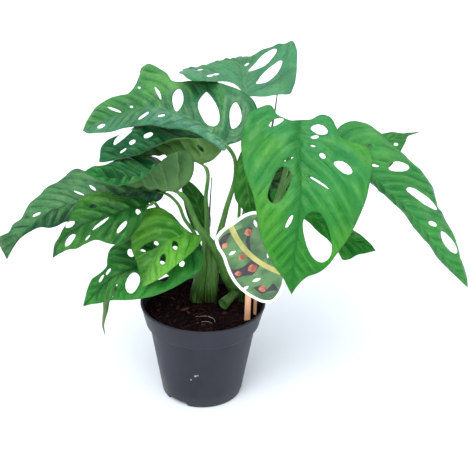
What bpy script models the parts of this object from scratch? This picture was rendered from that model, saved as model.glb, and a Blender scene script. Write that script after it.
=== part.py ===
"""A Swiss cheese vine in a plain nursery pot: leaves with real slots, shoots, soil, label and sticks.

Lengths are in millimetres and are turned into metres when a mesh is made. +Z is up, the origin is
the middle of the pot's underside, and the plant's best side looks towards -Y.
"""
import math

import bmesh
import bpy
import numpy as np
from mathutils import Matrix, Vector
from mathutils.geometry import delaunay_2d_cdt

MM = 0.001

# Pot: a 12 cm nursery pot, thin walled, with a collar
POT_HEIGHT = 98.0
POT_RIM_RADIUS = 60.0
POT_BASE_RADIUS = 39.3
POT_STEP_HEIGHT = 75.0
POT_STEP_RADIUS = 51.5
COLLAR_FOOT_RADIUS = 55.0
COLLAR_FOOT_HEIGHT = 77.2
POT_WALL = 1.2
POT_FLOOR = 2.0
POT_FOOT_CHAMFER = 1.4
POT_RIM_CHAMFER = 0.5
POT_SIDES = 44
NOTCH_ANGLES = (235.0, 355.0, 115.0)
NOTCH_WIDTH = 24.0
NOTCH_HEIGHT = 4.0
NOTCH_DEPTH = 9.0

# Soil: fills the pot and rises a little towards the middle, over these (share of the radius, height)
SEAT_GAP = 0.35
SOIL_EDGE_HEIGHT = 88.0
SOIL_EDGE_GAP = 0.4
SOIL_TOP = ((1.0, SOIL_EDGE_HEIGHT), (0.9, 89.4), (0.6, 90.6), (0.0, 91.0))
SOIL_SIDES = 32
HOLE_GAP = 0.35
HOLE_TOP = 111.5

# Shoots: each has one root stock in the soil, from which its leaf stalks rise
STOCK_BOTTOM = 66.0
STOCK_TOP = 91.5
STOCK_SIDES = 12
STOCK_DOME = 1.5
STOCK_DOME_SHARE = 0.7
STALK_SIDES = 8
STALK_RING_STEP = 10.0
STALK_FOOT = 85.0
STALK_NECK = 93.0

# Blades
BLADE_THICKNESS = 0.8
BLADE_GAP = 0.35
EDGE_STEP = 6.5
RIB_STEP = 9.0
GRID_STEP = 13.0
GRID_CLEARANCE = 4.0
NARROWEST_TIP = 0.5
SMALLEST_SLOT = 1.3
SMALL_SLOT = 6.0
SMALL_SLOT_POINTS = 7
SLOT_POINTS = 10
RIB_SAMPLES = 101
CURVE_SAMPLES = 400
GRIP_STATION = 7
VEIN_BEND = 0.12
# How far a side vein leans towards the tip, for shares of the rib from behind the base to the tip
VEIN_STARTS = (-0.25, -0.1, 0.0, 0.1, 0.25, 0.5, 0.75, 1.0)
VEIN_LEANS = (-1.3, -0.95, -0.45, 0.1, 0.45, 0.65, 0.8, 0.95)

# Label: a flat printed plate in front of its stick
LABEL_Y = -22.0
LABEL_THICKNESS = 0.8
LABEL_OUTLINE = (
    (15, 181), (11, 174), (13, 165), (18, 156), (21, 147), (25, 137), (31, 127), (39, 119), (48, 113),
    (58, 109),
    (66, 110), (72, 117), (76, 128), (77, 145), (72, 170), (61, 193), (47, 202), (37, 199), (28, 192),
    (20, 186),
)
LABEL_POINTS = 48
STICKS = {
    "stick_front": {"middle": (42.8, -20.2), "size": (5.6, 2.0), "bottom": 80.0, "top": 150.0},
    "stick_back": {"middle": (50.0, -9.0), "size": (3.2, 1.6), "bottom": 79.0, "top": 125.0},
}
STICK_EDGE = 0.4
SHARP_ANGLE = math.radians(40)
WELD = 1e-6

COLOURS = {
    "pot": (0.055, 0.06, 0.075),
    "soil": (0.016, 0.009, 0.007),
    "leaf": (0.05, 0.25, 0.055),
    "young": (0.16, 0.42, 0.05),
    "dark": (0.012, 0.09, 0.03),
    "stem": (0.1, 0.24, 0.05),
    "label": (0.6, 0.62, 0.4),
    "stick": (0.65, 0.4, 0.24),
}
ROUGHNESS = {"pot": 0.45, "soil": 0.95, "leaf": 0.4, "young": 0.4, "dark": 0.4, "stem": 0.45, "label": 0.35,
             "stick": 0.7}

# Root stocks: middle, radius, and the extra stalks that end in no blade (rolled leaves) as (radii, points)
SHOOTS = {
    "shoot_left": {
        "middle": (-6.0, 12.0), "radius": 6.0,
        "rolled": [
            ((1.8, 1.7, 1.6, 1.5, 1.5, 1.5, 1.8, 4.8, 3.0, 1.6, 0.4),
             [(-6, 11), (-5.5, 10, 118), (-21.5, 7, 115), (-38.5, 4, 109.5), (-51, 1, 106.5),
              (-62.5, 1, 101.5), (-72, 0, 100.5), (-79.5, -2, 104.5), (-85.5, -4, 108), (-91, -7, 101),
              (-93, -8, 87.5), (-95, -8, 78), (-96, -8, 70.5), (-94.5, -8, 61.5)]),
        ],
    },
    "shoot_middle": {
        "middle": (6.5, 15.5), "radius": 5.5,
        "rolled": [((1.4, 1.2, 0.4), [(7, 17.5), (4, 19, 158), (6, 19, 217)])],
    },
    "shoot_right": {
        "middle": (34.0, 21.0), "radius": 6.5,
        "rolled": [
            ((2.0, 1.8, 1.4, 0.5), [(36, 24), (50, 30, 170), (58, 37, 245), (62, 28, 280), (63, 21, 297)]),
            ((4.2, 4.4, 4.2, 3.8), [(33, 20), (30, 13, 98), (25, 4, 97.5), (19.5, -4, 96)]),
        ],
    },
}

# Leaves. rib: from the stalk to the tip. face: the way the upper side looks, from base to tip.
# half_width, fold, curl and edge are given for the left half and then the right half, as seen on
# the upper side with the tip up. fold and curl are in degrees, from base to tip. An edge runs from
# base to tip in shares of the half width and of the rib. A slot is (side, share of the rib where
# its vein starts, share of the half width, half sizes of both, lean, and for some how much they
# narrow towards the margin). A stalk is its radii and its route: its foot (x, y) and the points it
# passes. With grip False it stops under the base, and lower moves that end down, or up where the
# halves rise from the rib.
LEAVES = [
    dict(
        name="leaf_front_right", colour="leaf", shoot="shoot_right",
        stalk=((3.2, 1.8), [(35, 19), (54, -5, 166), (69, -25, 231)]),
        rib=[(79, -42, 294), (79, -62, 270), (81, -76, 245), (80, -84, 218), (78, -88, 187),
             (78, -90, 156)],
        face=((0, -0.55, 0.83), (0, -0.97, 0.2)), half_width=(60, 48),
        fold=((8, 5), (12, 5)), curl=((-25, -20), (-35, -30)),
        edge=(
            [(.16, 0), (.31, -.03), (.42, -.02), (.52, .045), (.6, .1), (.78, .12), (.97, .15),
             (1.03, .22), (1.01, .31), (.94, .4), (.85, .5), (.78, .58), (.68, .66), (.6, .72),
             (.5, .8), (.38, .855), (.2, .89), (.09, .935)],
            [(.15, .01), (.27, -.005), (.37, -.02), (.49, -.075), (.72, -.06), (.86, -.04), (.95, .02),
             (1, .13), (.97, .23), (.86, .37), (.74, .52), (.6, .68), (.45, .77), (.33, .83),
             (.19, .885), (.09, .945)],
        ),
        slots=[
            (-1, .064, .28, .019, .12, .007), (-1, .094, .22, .008, .06, -.004),
            (-1, .14, .2, .005, .04, 0), (-1, .174, .325, .014, .045, 0), (-1, .193, .6, .022, .13, 0),
            (-1, .304, .24, .006, .15, .004), (-1, .563, .29, .122, .22, .005),
            (1, .043, .39, .013, .13, .014), (1, .208, .17, .005, .085, 0),
            (1, .312, .35, .086, .2, .017), (1, .538, .15, .025, .06, .016),
        ],
    ),
    dict(
        name="leaf_top", colour="leaf", shoot="shoot_right",
        stalk=((3.0, 1.7), [(34, 22), (39, 22, 167), (41, 34, 235)]),
        rib=[(36, 28, 293), (34, 58, 295), (32, 90, 297), (30, 118, 299), (28, 150, 299)],
        face=((0.25, -0.1, 1), (0, 0, 1), (-0.25, 0.25, 0.9)), half_width=(66, 58),
        fold=((12, 8, 8), (20, 25, 38)), curl=((-15, -15), (-10, -10)),
        edge=(
            [(.05, .06), (.15, .155), (.25, .2), (.37, .12), (.5, .02), (.66, -.06), (.82, -.08),
             (.91, -.01), (.94, .14), (.93, .3), (.91, .43), (.88, .56), (.84, .65), (.73, .68),
             (.58, .71), (.45, .82), (.32, .9), (.13, .93)],
            [(.1, -.03), (.28, -.045), (.46, -.02), (.63, -.02), (.75, .09), (.84, .25), (.92, .45),
             (.97, .58), (.95, .655), (.82, .66), (.72, .7), (.59, .7), (.43, .73), (.26, .73), (.11, .83)],
        ),
        slots=[
            (-1, .324, .62, .03, .05, -.03), (-1, .169, .5, .03, .06, -.05),
            (-1, .25, .4, .03, .05, -.03), (1, .449, .38, .066, .28, -.019),
            (1, .237, .43, .067, .25, .05), (1, .609, .1, .03, .05, -.02),
        ],
    ),
    dict(
        name="leaf_upper_left", colour="leaf", shoot="shoot_middle",
        stalk=((3.0, 4.0, 2.7, 2.0, 1.7), [(8, 14), (11, 16, 140), (20, 14, 187), (28, 13, 223)]),
        rib=[(20, -5, 257), (6, 2, 266), (-10, 14, 273), (-28, 23, 277), (-47, 31, 279), (-66, 38, 273),
             (-88, 46, 263), (-103, 51, 256), (-118, 56, 246)],
        grip=False, lower=0.3,
        face=((-0.1, -0.3, 1), (-0.3, -0.3, 1)), half_width=(40, 62),
        fold=((-30, -30), (30, 25, 20)), curl=((-50, -30), (-10, -20)),
        edge=(
            [(.12, -.01), (.18, .06), (.22, .16), (.31, .28), (.42, .4), (.43, .53), (.39, .62),
             (.35, .72), (.33, .81), (.24, .9), (.14, .965)],
            [(.2, -.04), (.42, -.02), (.69, .01), (.76, .06), (.76, .12), (.72, .2), (.68, .27),
             (.56, .38), (.48, .46), (.6, .49), (.7, .52), (.82, .56), (.89, .6), (.87, .63),
             (.64, .635), (.47, .655), (.37, .68), (.38, .74), (.41, .81), (.36, .88), (.24, .94),
             (.1, .985)],
        ),
        slots=[
            (-1, .835, .12, .03, .05, -.009), (-1, .533, .18, .025, .07, .02),
            (-1, .411, .17, .014, .05, .01), (1, .439, .24, .008, .11, -.004),
            (1, .344, .2, .032, .18, -.015), (1, .178, .26, .055, .21, .022, .65),
            (1, .073, .4, .022, .17, .019), (1, .728, .14, .014, .1, .021), (1, .626, .08, .01, .03, 0),
            (1, .507, .42, .009, .03, 0),
        ],
    ),
    dict(
        name="leaf_mid_left", colour="dark", shoot="shoot_middle",
        stalk=((3.0, 3.8, 2.6, 1.9, 1.7), [(5, 14), (3, 14, 160), (1, 15, 196)]),
        rib=[(-2, 15, 232), (-19, 18, 236), (-41, 12, 240), (-67, 0, 243), (-92, -15, 242)],
        grip=False, lower=-0.6,
        face=((-0.2, 0.2, 0.9), (-0.2, -0.2, 1)), half_width=(42, 60),
        fold=((65, 60, 20, -10), (30, 40, 35)), curl=((20, -30), (-10, -20)),
        edge=(
            [(.1, -.06), (.3, -.115), (.46, -.14), (.6, -.08), (.66, 0), (.56, .13), (.48, .28),
             (.45, .44), (.42, .56), (.28, .69), (.15, .81), (.08, .92)],
            [(.25, -.07), (.55, -.07), (.8, .05), (.9, .22), (.88, .38), (.65, .52), (.45, .66),
             (.39, .76), (.33, .85), (.22, .93), (.08, .975)],
        ),
        slots=[
            (1, .545, .37, .037, .14, -.14), (1, .537, .24, .026, .05, -.039),
            (1, .344, .39, .029, .07, -.048), (1, .7, .1, .02, .04, -.05),
            (1, .31, .17, .013, .03, -.01), (-1, .06, .36, .014, .08, .015),
        ],
    ),
    dict(
        name="leaf_inner_left", colour="dark", shoot="shoot_right",
        stalk=((3.6, 5.8, 4.2, 2.8, 2.2), [(32, 22), (24, 15, 118), (9, 4, 153), (-4, 0, 173)]),
        rib=[(-24, -5, 213), (-39, -16, 219), (-63, -34, 229), (-82, -50, 241), (-97, -62, 250)],
        grip=False, lower=-0.8,
        face=((-0.2, 0.1, 1), (-0.2, -0.3, 1)), half_width=(42, 52),
        fold=((75, 70, 40, 0, -20), (40, 30, 20)), curl=((10, -30), (-10, -20)),
        edge=(
            [(.22, -.1), (.46, -.12), (.78, -.06), (.88, .06), (.82, .2), (.75, .33), (.66, .46),
             (.52, .6), (.38, .72), (.22, .85)],
            [(.25, -.08), (.6, -.06), (.9, .08), (.95, .25), (.76, .45), (.52, .6), (.35, .73),
             (.23, .86), (.14, .925)],
        ),
        slots=[],
    ),
    dict(
        name="leaf_far_left", colour="leaf", shoot="shoot_left",
        stalk=((2.5, 1.3), [(-4, 13), (-4, 8, 150), (-9, 5, 166), (-18, 1, 182), (-24, -3, 199)]),
        rib=[(-35, -6, 211), (-57, -10, 214), (-83, -18, 213), (-108, -26, 209), (-129, -34, 205),
             (-140, -37, 199), (-153, -40, 188), (-164, -42, 177), (-173, -44, 158)],
        grip=False,
        face=((-0.2, -0.2, 1), (-0.5, -0.4, 0.8)), half_width=(36, 48),
        fold=((-60, -60), (15, 15, 30)), curl=((-30, -30), (-20, -20)),
        edge=(
            [(.2, .02), (.3, .06), (.3, .12), (.35, .2), (.45, .3), (.5, .4), (.46, .5), (.42, .58),
             (.42, .645), (.36, .69), (.2, .73), (.1, .8), (.06, .9)],
            [(.3, -.04), (.6, 0), (.8, .12), (.85, .25), (.78, .38), (.97, .42), (.63, .546),
             (.52, .62), (.45, .645), (.4, .7), (.26, .79), (.28, .84), (.22, .87), (.32, .91),
             (.41, .94), (.28, .955)],
        ),
        slots=[
            (1, .338, .25, .009, .1, -.006), (1, .42, .19, .009, .09, .006), (1, .68, .09, .02, .04, .007),
        ],
    ),
    dict(
        name="leaf_lower_left", colour="young", shoot="shoot_left",
        stalk=((2.5, 1.3), [(-4, 11), (-4, 3, 150), (-19, -3, 165), (-34, -6, 181), (-41, -11, 198),
                            (-44, -20, 207)]),
        rib=[(-46, -34, 211), (-65, -54, 214), (-84, -68, 212), (-97, -76, 209), (-107, -82, 205),
             (-116, -86, 196), (-122, -88, 183)],
        grip=False, lower=0.1,
        face=((-0.2, -0.6, 0.75), (-0.5, -0.6, 0.6)), half_width=(35, 38),
        fold=((-5, -5), (-15, -5, 5, 5, 5)), curl=((-20, -20), (-20, -20)),
        edge=(
            [(.1, .05), (.27, .12), (.45, .19), (.62, .26), (.76, .345), (.84, .45), (.7, .53),
             (.53, .59), (.5, .7), (.46, .79), (.31, .85), (.2, .91)],
            [(.2, -.03), (.5, 0), (.8, .12), (.9, .3), (.85, .45), (.61, .6), (.31, .69), (.17, .79),
             (.1, .83), (.09, .9)],
        ),
        slots=[
            (-1, .74, .17, .06, .09, -.008), (-1, .469, .15, .036, .1, .059),
            (-1, .29, .44, .032, .12, .027), (-1, .564, .38, .015, .05, .012),
            (-1, .155, .17, .022, .09, 0), (1, .391, .39, .033, .09, -.016), (1, .66, .18, .04, .08, -.023),
        ],
    ),
    dict(
        name="leaf_young", colour="young", shoot="shoot_left",
        stalk=((3.0, 3.4, 2.2, 1.3), [(-5, 12), (-1, 3, 140)]),
        rib=[(-3, -10, 172), (-18, -25, 178), (-31, -36, 175), (-41, -43, 163), (-52, -50, 137)],
        grip=False,
        face=((-0.2, -0.5, 0.85), (-0.5, -0.7, 0.5)), half_width=(22, 48),
        fold=((-5, -5), (-40, 25, 40, 30, 20)), curl=((-20, -20), (-10, -10)),
        edge=(
            [(.19, .01), (.54, .1), (.88, .27), (1, .5), (.86, .65), (.7, .77), (.38, .89)],
            [(.14, .115), (.24, .175), (.34, .22), (.46, .25), (.57, .29), (.65, .335), (.7, .39),
             (.74, .45), (.74, .5), (.68, .54), (.57, .63), (.45, .705), (.29, .775), (.17, .865)],
        ),
        slots=[
            (-1, .373, .3, .037, .2, -.008), (-1, .57, .3, .05, .16, -.007), (1, .515, .21, .058, .12, .01),
        ],
    ),
    dict(
        name="leaf_low_left", colour="leaf", shoot="shoot_left",
        stalk=((3.2, 3.4, 2.0, 1.5), [(-8, 12.5), (-5, 8, 135)]),
        rib=[(-13, -4, 157), (-35, -15, 150), (-62, -25, 144), (-82, -30, 135), (-109, -35, 107)],
        face=((-0.2, -0.5, 0.85), (-0.5, -0.6, 0.5)), half_width=(42, 38),
        fold=((-5, -5), (5, 5)), curl=((-20, -20), (-20, -20)),
        edge=(
            [(.1, -.055), (.23, -.07), (.43, -.036), (.61, .012), (.67, .09), (.71, .18), (.76, .3),
             (.77, .42), (.69, .56), (.54, .7), (.38, .79), (.27, .86), (.1, .94)],
            [(.25, .01), (.6, .03), (.85, .15), (.95, .35), (.9, .5), (.79, .6), (.57, .64), (.36, .67),
             (.32, .74), (.36, .81), (.27, .88), (.14, .94)],
        ),
        slots=[
            (-1, .455, .32, .061, .22, -.021), (-1, .224, .43, .03, .11, -.018),
            (-1, .111, .32, .018, .08, .001), (-1, .708, .25, .021, .07, .02),
            (-1, .62, .28, .016, .1, .02), (1, .375, .42, .023, .13, -.024),
            (1, .165, .48, .026, .11, -.006), (1, .3, .36, .018, .07, -.007),
            (1, .104, .13, .019, .07, -.004), (-1, .246, .12, .026, .07, -.008),
            (1, .696, .18, .03, .05, -.03), (1, .62, .2, .022, .06, -.03),
        ],
    ),
    dict(
        name="leaf_far_right", colour="leaf", shoot="shoot_right",
        stalk=((2.8, 1.6), [(37, 21), (57, 0, 174), (85, -5, 240)]),
        rib=[(113, -20, 268), (127, -28, 259), (147, -36, 242), (172, -42, 222), (198, -46, 193),
             (217, -48, 169), (237, -50, 146)],
        grip=False, lower=-0.68,
        face=((0.2, -0.4, 0.9), (0.5, -0.4, 0.8)), half_width=(55, 15),
        fold=((15, 5), (-85, -112, -112, -110)), curl=((-20, -20), (-20, -20)),
        edge=(
            [(.23, -.04), (.41, -.035), (.57, -.01), (.7, .035), (.76, .11), (.83, .2), (.89, .3),
             (.94, .39), (.96, .48), (.93, .55), (.8, .595), (.68, .63), (.71, .66), (.65, .7),
             (.65, .75), (.6, .81), (.42, .875), (.29, .925), (.16, .97)],
            [(.2, .03), (.6, .08), (.9, .18), (1, .32), (.97, .5), (.85, .65), (.65, .78), (.4, .88),
             (.15, .955)],
        ),
        slots=[
            (-1, .11, .37, .012, .07, .003), (-1, .244, .56, .029, .21, .003),
            (-1, .199, .19, .01, .06, .007), (-1, .429, .45, .056, .19, .045),
            (-1, .581, .26, .019, .08, 0), (-1, .697, .33, .07, .14, -.015),
        ],
    ),
    dict(
        name="leaf_back_right", colour="leaf", shoot="shoot_right",
        stalk=((2.5, 1.4), [(36, 23), (60, 22, 159), (98, 36, 215)]),
        rib=[(136, 40, 240), (165, 60, 241), (198, 80, 245), (207, 84, 245)],
        face=((0.2, -0.1, 1), (0.5, -0.2, 0.8)), half_width=(25, 34),
        fold=((5, 5), (5, 5)), curl=((-20, -20), (-20, -20)),
        edge=(
            [(.25, -.06), (.55, 0), (.68, .2), (.62, .4), (.4, .56), (.3, .66), (.12, .76), (.05, .87)],
            [(.3, -.06), (.75, .05), (.97, .22), (.75, .4), (.5, .57), (.3, .7), (.07, .83), (.04, .92)],
        ),
        slots=[(1, .502, .25, .03, .06, -.018)],
    ),
    dict(
        name="leaf_low_right", colour="dark", shoot="shoot_right",
        stalk=((2.5, 1.4), [(36, 19), (49, 12, 150), (56, 13, 180)]),
        rib=[(63, 11, 197), (85, 10, 191), (107, 5, 181), (136, 0, 166), (160, -5, 158)],
        grip=False,
        face=((0.2, -0.5, 0.9), (0.5, -0.4, 0.8)), half_width=(30, 30),
        fold=((5, 5), (5, 5)), curl=((-20, -20), (-20, -20)),
        edge=(
            [(.25, -.04), (.5, -.03), (.6, .08), (.65, .22), (.72, .36), (.75, .5), (.68, .63),
             (.5, .73), (.38, .855), (.18, .94)],
            [(.2, -.03), (.3, .04), (.28, .16), (.2, .28), (.24, .36), (.4, .45), (.48, .58),
             (.74, .71), (.87, .76), (.76, .805), (.51, .855), (.29, .92)],
        ),
        slots=[],
    ),
    dict(
        name="leaf_middle", colour="dark", shoot="shoot_right",
        stalk=((2.0, 1.2), [(33, 24), (32, 14, 167), (34, 17, 221)]),
        rib=[(37, 10, 250), (37, -2, 233), (40, -8, 211), (44, -10, 183)],
        face=((-0.1, -0.6, 0.7), (-0.1, -1, 0.2)), half_width=(14, 18),
        fold=((5, 5), (5, 5)), curl=((-20, -20), (-20, -20)),
        edge=(
            [(.2, -.065), (.5, -.075), (.83, .03), (.99, .21), (.98, .41), (.81, .6), (.55, .76),
             (.27, .88), (.1, .955)],
            [(.15, .02), (.4, .15), (.52, .34), (.68, .52), (.68, .63), (.55, .71), (.34, .79), (.15, .9)],
        ),
        slots=[],
    ),
    dict(
        name="leaf_back_middle", colour="dark", shoot="shoot_right",
        stalk=((2.0, 1.3), [(33, 25), (35, 36, 150), (39, 44, 185)]),
        rib=[(46, 46, 207), (66, 48, 202), (86, 50, 193), (102, 52, 182)],
        grip=False,
        face=((0.1, -0.8, 0.6), (0.2, -0.8, 0.6)), half_width=(24, 26),
        fold=((5, 5), (5, 5)), curl=((-20, -20), (-20, -20)),
        edge=(
            [(.2, -.08), (.55, -.09), (.85, .01), (1, .18), (.97, .4), (.8, .6), (.52, .77), (.25, .89),
             (.1, .955)],
            [(.15, -.03), (.4, .02), (.75, .12), (.98, .28), (.95, .45), (.78, .62), (.52, .77),
             (.25, .89), (.1, .955)],
        ),
        slots=[],
    ),
    dict(
        name="leaf_small", colour="dark", shoot="shoot_middle",
        stalk=((2.0, 2.4, 1.2), [(4.5, 16), (3, 18, 141)]),
        rib=[(-1, 22, 166), (-6, 24, 185), (-14, 26, 201), (-24, 30, 214)],
        grip=False,
        face=((0.1, -0.8, 0.5), (-0.1, -0.8, 0.5)), half_width=(13, 9),
        fold=((5, 5), (5, 5)), curl=((-20, -20), (-20, -20)),
        edge=(
            [(.2, -.065), (.5, -.075), (.83, .03), (.99, .21), (.98, .41), (.81, .6), (.55, .76),
             (.27, .88), (.1, .955)],
            [(.2, -.065), (.5, -.075), (.83, .03), (.99, .21), (.98, .41), (.81, .6), (.55, .76),
             (.27, .88), (.1, .955)],
        ),
        slots=[],
    ),
]


def spline(knots, values, at):
    """Smooth curve through values at the knots."""
    knots = np.asarray(knots, float)
    values = np.asarray(values, float)
    at = np.clip(np.asarray(at, float), knots[0], knots[-1])
    slope = np.gradient(values, knots, axis=0)
    index = np.clip(np.searchsorted(knots, at, side="right") - 1, 0, len(knots) - 2)
    gap = (knots[index + 1] - knots[index])[:, None]
    share = (at - knots[index])[:, None] / gap
    start = (2 * share**3 - 3 * share**2 + 1) * values[index]
    leave = (share**3 - 2 * share**2 + share) * gap * slope[index]
    end = (-2 * share**3 + 3 * share**2) * values[index + 1]
    arrive = (share**3 - share**2) * gap * slope[index + 1]
    return start + leave + end + arrive


def run_length(points):
    """Distance along a chain of points, for each of them."""
    return np.concatenate([[0], np.cumsum(np.linalg.norm(np.diff(points, axis=0), axis=1))])


def even_path(points, count):
    """Even steps along a smooth curve through points, and its length."""
    points = np.asarray(points, float)
    reach = run_length(points)
    fine = spline(reach, points, np.linspace(0, reach[-1], CURVE_SAMPLES))
    run = run_length(fine)
    at = np.linspace(0, run[-1], count)
    return np.stack([np.interp(at, run, fine[:, k]) for k in range(3)], -1), run[-1]


def stations(values, share):
    """Values given at even stations from base to tip, read at a share of the way."""
    values = np.asarray(values, float)
    knots = np.linspace(0, 1, len(values))
    if values.ndim == 1:
        return np.interp(share, knots, values)
    return np.stack([np.interp(share, knots, values[:, k]) for k in range(values.shape[1])], -1)


def inside(points, outline):
    """Which flat points lie in a closed outline."""
    x, y = points[:, 0], points[:, 1]
    hit = np.zeros(len(points), bool)
    for (x0, y0), (x1, y1) in zip(outline, np.roll(outline, -1, axis=0)):
        if y0 == y1:
            continue
        hit ^= ((y0 > y) != (y1 > y)) & (x < (x1 - x0) * (y - y0) / (y1 - y0) + x0)
    return hit


def distance_to(points, outline):
    """Distance from flat points to a closed outline."""
    start = outline
    step = np.roll(outline, -1, axis=0) - start
    away = points[:, None, :] - start[None]
    share = np.clip((away * step).sum(-1) / np.maximum((step * step).sum(-1), 1e-9), 0, 1)
    return np.linalg.norm(away - share[..., None] * step, axis=-1).min(axis=1)


class Blade:
    """One leaf blade: flat coordinates (across, along) in millimetres, and their place in space."""

    def __init__(self, leaf):
        self.leaf = leaf
        self.rib, self.length = even_path(leaf["rib"], RIB_SAMPLES)
        tangent = np.gradient(self.rib, axis=0)
        self.tangent = tangent / np.linalg.norm(tangent, axis=1)[:, None]
        units = [np.asarray(way, float) / np.linalg.norm(way) for way in leaf["face"]]
        face = stations(units, np.linspace(0, 1, RIB_SAMPLES))
        normal = face - (face * self.tangent).sum(1)[:, None] * self.tangent
        self.normal = normal / np.linalg.norm(normal, axis=1)[:, None]
        self.across = np.cross(self.tangent, self.normal)

    def width(self, side):
        return self.leaf["half_width"][0 if side < 0 else 1]

    def vein(self, side, start, share):
        """Flat point at a share of the half width, on the side vein that leaves the rib at start."""
        width = self.width(side)
        lean = np.interp(start, VEIN_STARTS, VEIN_LEANS)
        along = start * self.length + width * (lean * share + VEIN_BEND * share * share)
        return np.stack([side * share * width, along], -1)

    def edge(self, side, step):
        """Margin of one half, from the base to the tip, at about even steps."""
        shares = self.leaf["edge"][0 if side < 0 else 1]
        points = np.asarray([(0, 0)] + list(shares) + [(0, 1)], float)
        points *= (self.width(side), self.length)
        knots = run_length(points)
        count = int(knots[-1] / step) + 2
        out = spline(knots, points, np.linspace(0, knots[-1], count))
        out[1:-1, 0] = np.maximum(out[1:-1, 0], NARROWEST_TIP)
        out[[0, -1], 0] = 0
        out[:, 0] *= side
        return out

    def outline(self, step):
        """Closed margin: up the right half and down the left."""
        return np.concatenate([self.edge(1, step)[:-1], self.edge(-1, step)[:0:-1]])

    def slot(self, slot, count):
        """Closed outline of a slot, drawn in vein coordinates."""
        side, start, share, half_start, half_share, lean = slot[:6]
        taper = slot[6] if len(slot) > 6 else 0.0
        angle = np.linspace(0, 2 * np.pi, count, endpoint=False)
        swell = half_start * np.sin(angle) * (1 - 0.25 * np.cos(angle) ** 2) * (1 - taper * np.cos(angle))
        return self.vein(side, start + swell + lean * np.cos(angle), share + half_share * np.cos(angle))

    def place(self, flat):
        """Points in space of flat points: the halves fold at the rib and curl towards the margin."""
        across, along = flat[:, 0], flat[:, 1]
        share = np.clip(along / self.length, 0, 1)
        at = share * (RIB_SAMPLES - 1)
        index = np.arange(RIB_SAMPLES)

        def pick(rows):
            return np.stack([np.interp(at, index, rows[:, k]) for k in range(3)], -1)

        tangent = pick(self.tangent)
        origin = pick(self.rib) + np.minimum(along, 0)[:, None] * tangent
        right = across > 0
        fold = np.radians(self.halves("fold", share, right))
        width = np.where(right, self.width(1), self.width(-1))
        turn = np.radians(self.halves("curl", share, right)) / width
        reach = np.abs(across)
        sideways = np.sign(across) * (np.sin(fold + turn * reach) - np.sin(fold)) / turn
        upwards = (np.cos(fold) - np.cos(fold + turn * reach)) / turn
        return origin + sideways[:, None] * pick(self.across) + upwards[:, None] * pick(self.normal)

    def halves(self, key, share, right):
        left_values, right_values = self.leaf[key]
        return np.where(right, stations(right_values, share), stations(left_values, share))

    def stalk_end(self, radius, before):
        """Where the stalk meets the underside of the blade's base, and how far it runs on under the rib."""
        stations_used = (0, GRIP_STATION)
        if not self.leaf.get("grip", True):
            stations_used = (0,)
            way = self.rib[0] - before
            upright = way.dot(self.normal[0]) / np.linalg.norm(way)
            radius *= math.sqrt(max(1 - upright**2, 0))
        drop = radius + BLADE_THICKNESS / 2 + BLADE_GAP + self.leaf.get("lower", 0)
        return [tuple(self.rib[k] - self.normal[k] * drop) for k in stations_used]


def chain(first, count):
    return [(first + k, first + (k + 1) % count) for k in range(count)]


def flat_mesh(blade):
    """Flat points and triangles of a blade, with its slots left open."""
    outline = blade.outline(EDGE_STEP)
    slots = []
    for slot in blade.leaf["slots"]:
        length = slot[4] * blade.width(slot[0])
        depth = slot[3] * blade.length
        if max(length, depth) < SMALLEST_SLOT:
            continue
        count = SLOT_POINTS if max(length, depth) > SMALL_SLOT else SMALL_SLOT_POINTS
        slots.append(blade.slot(slot, count))
    points = [outline]
    edges = chain(0, len(outline))
    total = len(outline)
    for slot in slots:
        points.append(slot)
        edges += chain(total, len(slot))
        total += len(slot)
    rib_count = int(blade.length / RIB_STEP)
    rib_at = np.linspace(0, blade.length, rib_count + 1)[1:-1]
    points.append(np.stack([np.zeros_like(rib_at), rib_at], -1))
    tip = len(blade.edge(1, EDGE_STEP)) - 1
    rib_chain = [0] + list(range(total, total + len(rib_at))) + [tip]
    edges += list(zip(rib_chain[:-1], rib_chain[1:]))
    points.append(grid_points(blade, [outline] + slots))
    points = np.concatenate(points)
    result = delaunay_2d_cdt([Vector(p) for p in points], edges, [], 0, 1e-4, False)
    flat = np.array([tuple(p) for p in result[0]])
    faces = np.array([tuple(f) for f in result[2]])
    middle = flat[faces].mean(axis=1)
    keep = inside(middle, outline)
    for slot in slots:
        keep &= ~inside(middle, slot)
    return flat, faces[keep]


def grid_points(blade, outlines):
    """Inner points on the side veins, clear of the margin, the slots and the rib."""
    found = []
    for side in (-1, 1):
        columns = int(blade.width(side) / GRID_STEP) + 1
        rows = int(blade.length / GRID_STEP) + 2
        for start in np.linspace(-0.2, 0.95, rows + 2):
            for share in np.linspace(0, 1, columns + 1)[1:]:
                found.append(blade.vein(side, start, share))
    found = np.array(found)
    keep = inside(found, outlines[0]) & (np.abs(found[:, 0]) > GRID_CLEARANCE)
    for outline in outlines:
        keep &= distance_to(found, outline) > GRID_CLEARANCE
    return found[keep]


def point_normals(points, faces):
    corner = points[faces]
    area = np.cross(corner[:, 1] - corner[:, 0], corner[:, 2] - corner[:, 0])
    normals = np.zeros_like(points)
    for k in range(3):
        np.add.at(normals, faces[:, k], area)
    return normals / np.maximum(np.linalg.norm(normals, axis=1), 1e-9)[:, None]


def thicken(points, faces, thickness):
    """Closed sheet of even thickness: both faces split alike, with a rim round every edge."""
    offset = point_normals(points, faces) * thickness / 2
    count = len(points)
    sides = {}
    for a, b, c in faces:
        for edge in ((a, b), (b, c), (c, a)):
            sides[edge] = True
    rim = []
    for a, b in sides:
        if (b, a) not in sides:
            rim.append((a, a + count, b + count))
            rim.append((a, b + count, b))
    under = faces[:, ::-1] + count
    return np.concatenate([points + offset, points - offset]), np.concatenate([faces, under, np.array(rim)])


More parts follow.
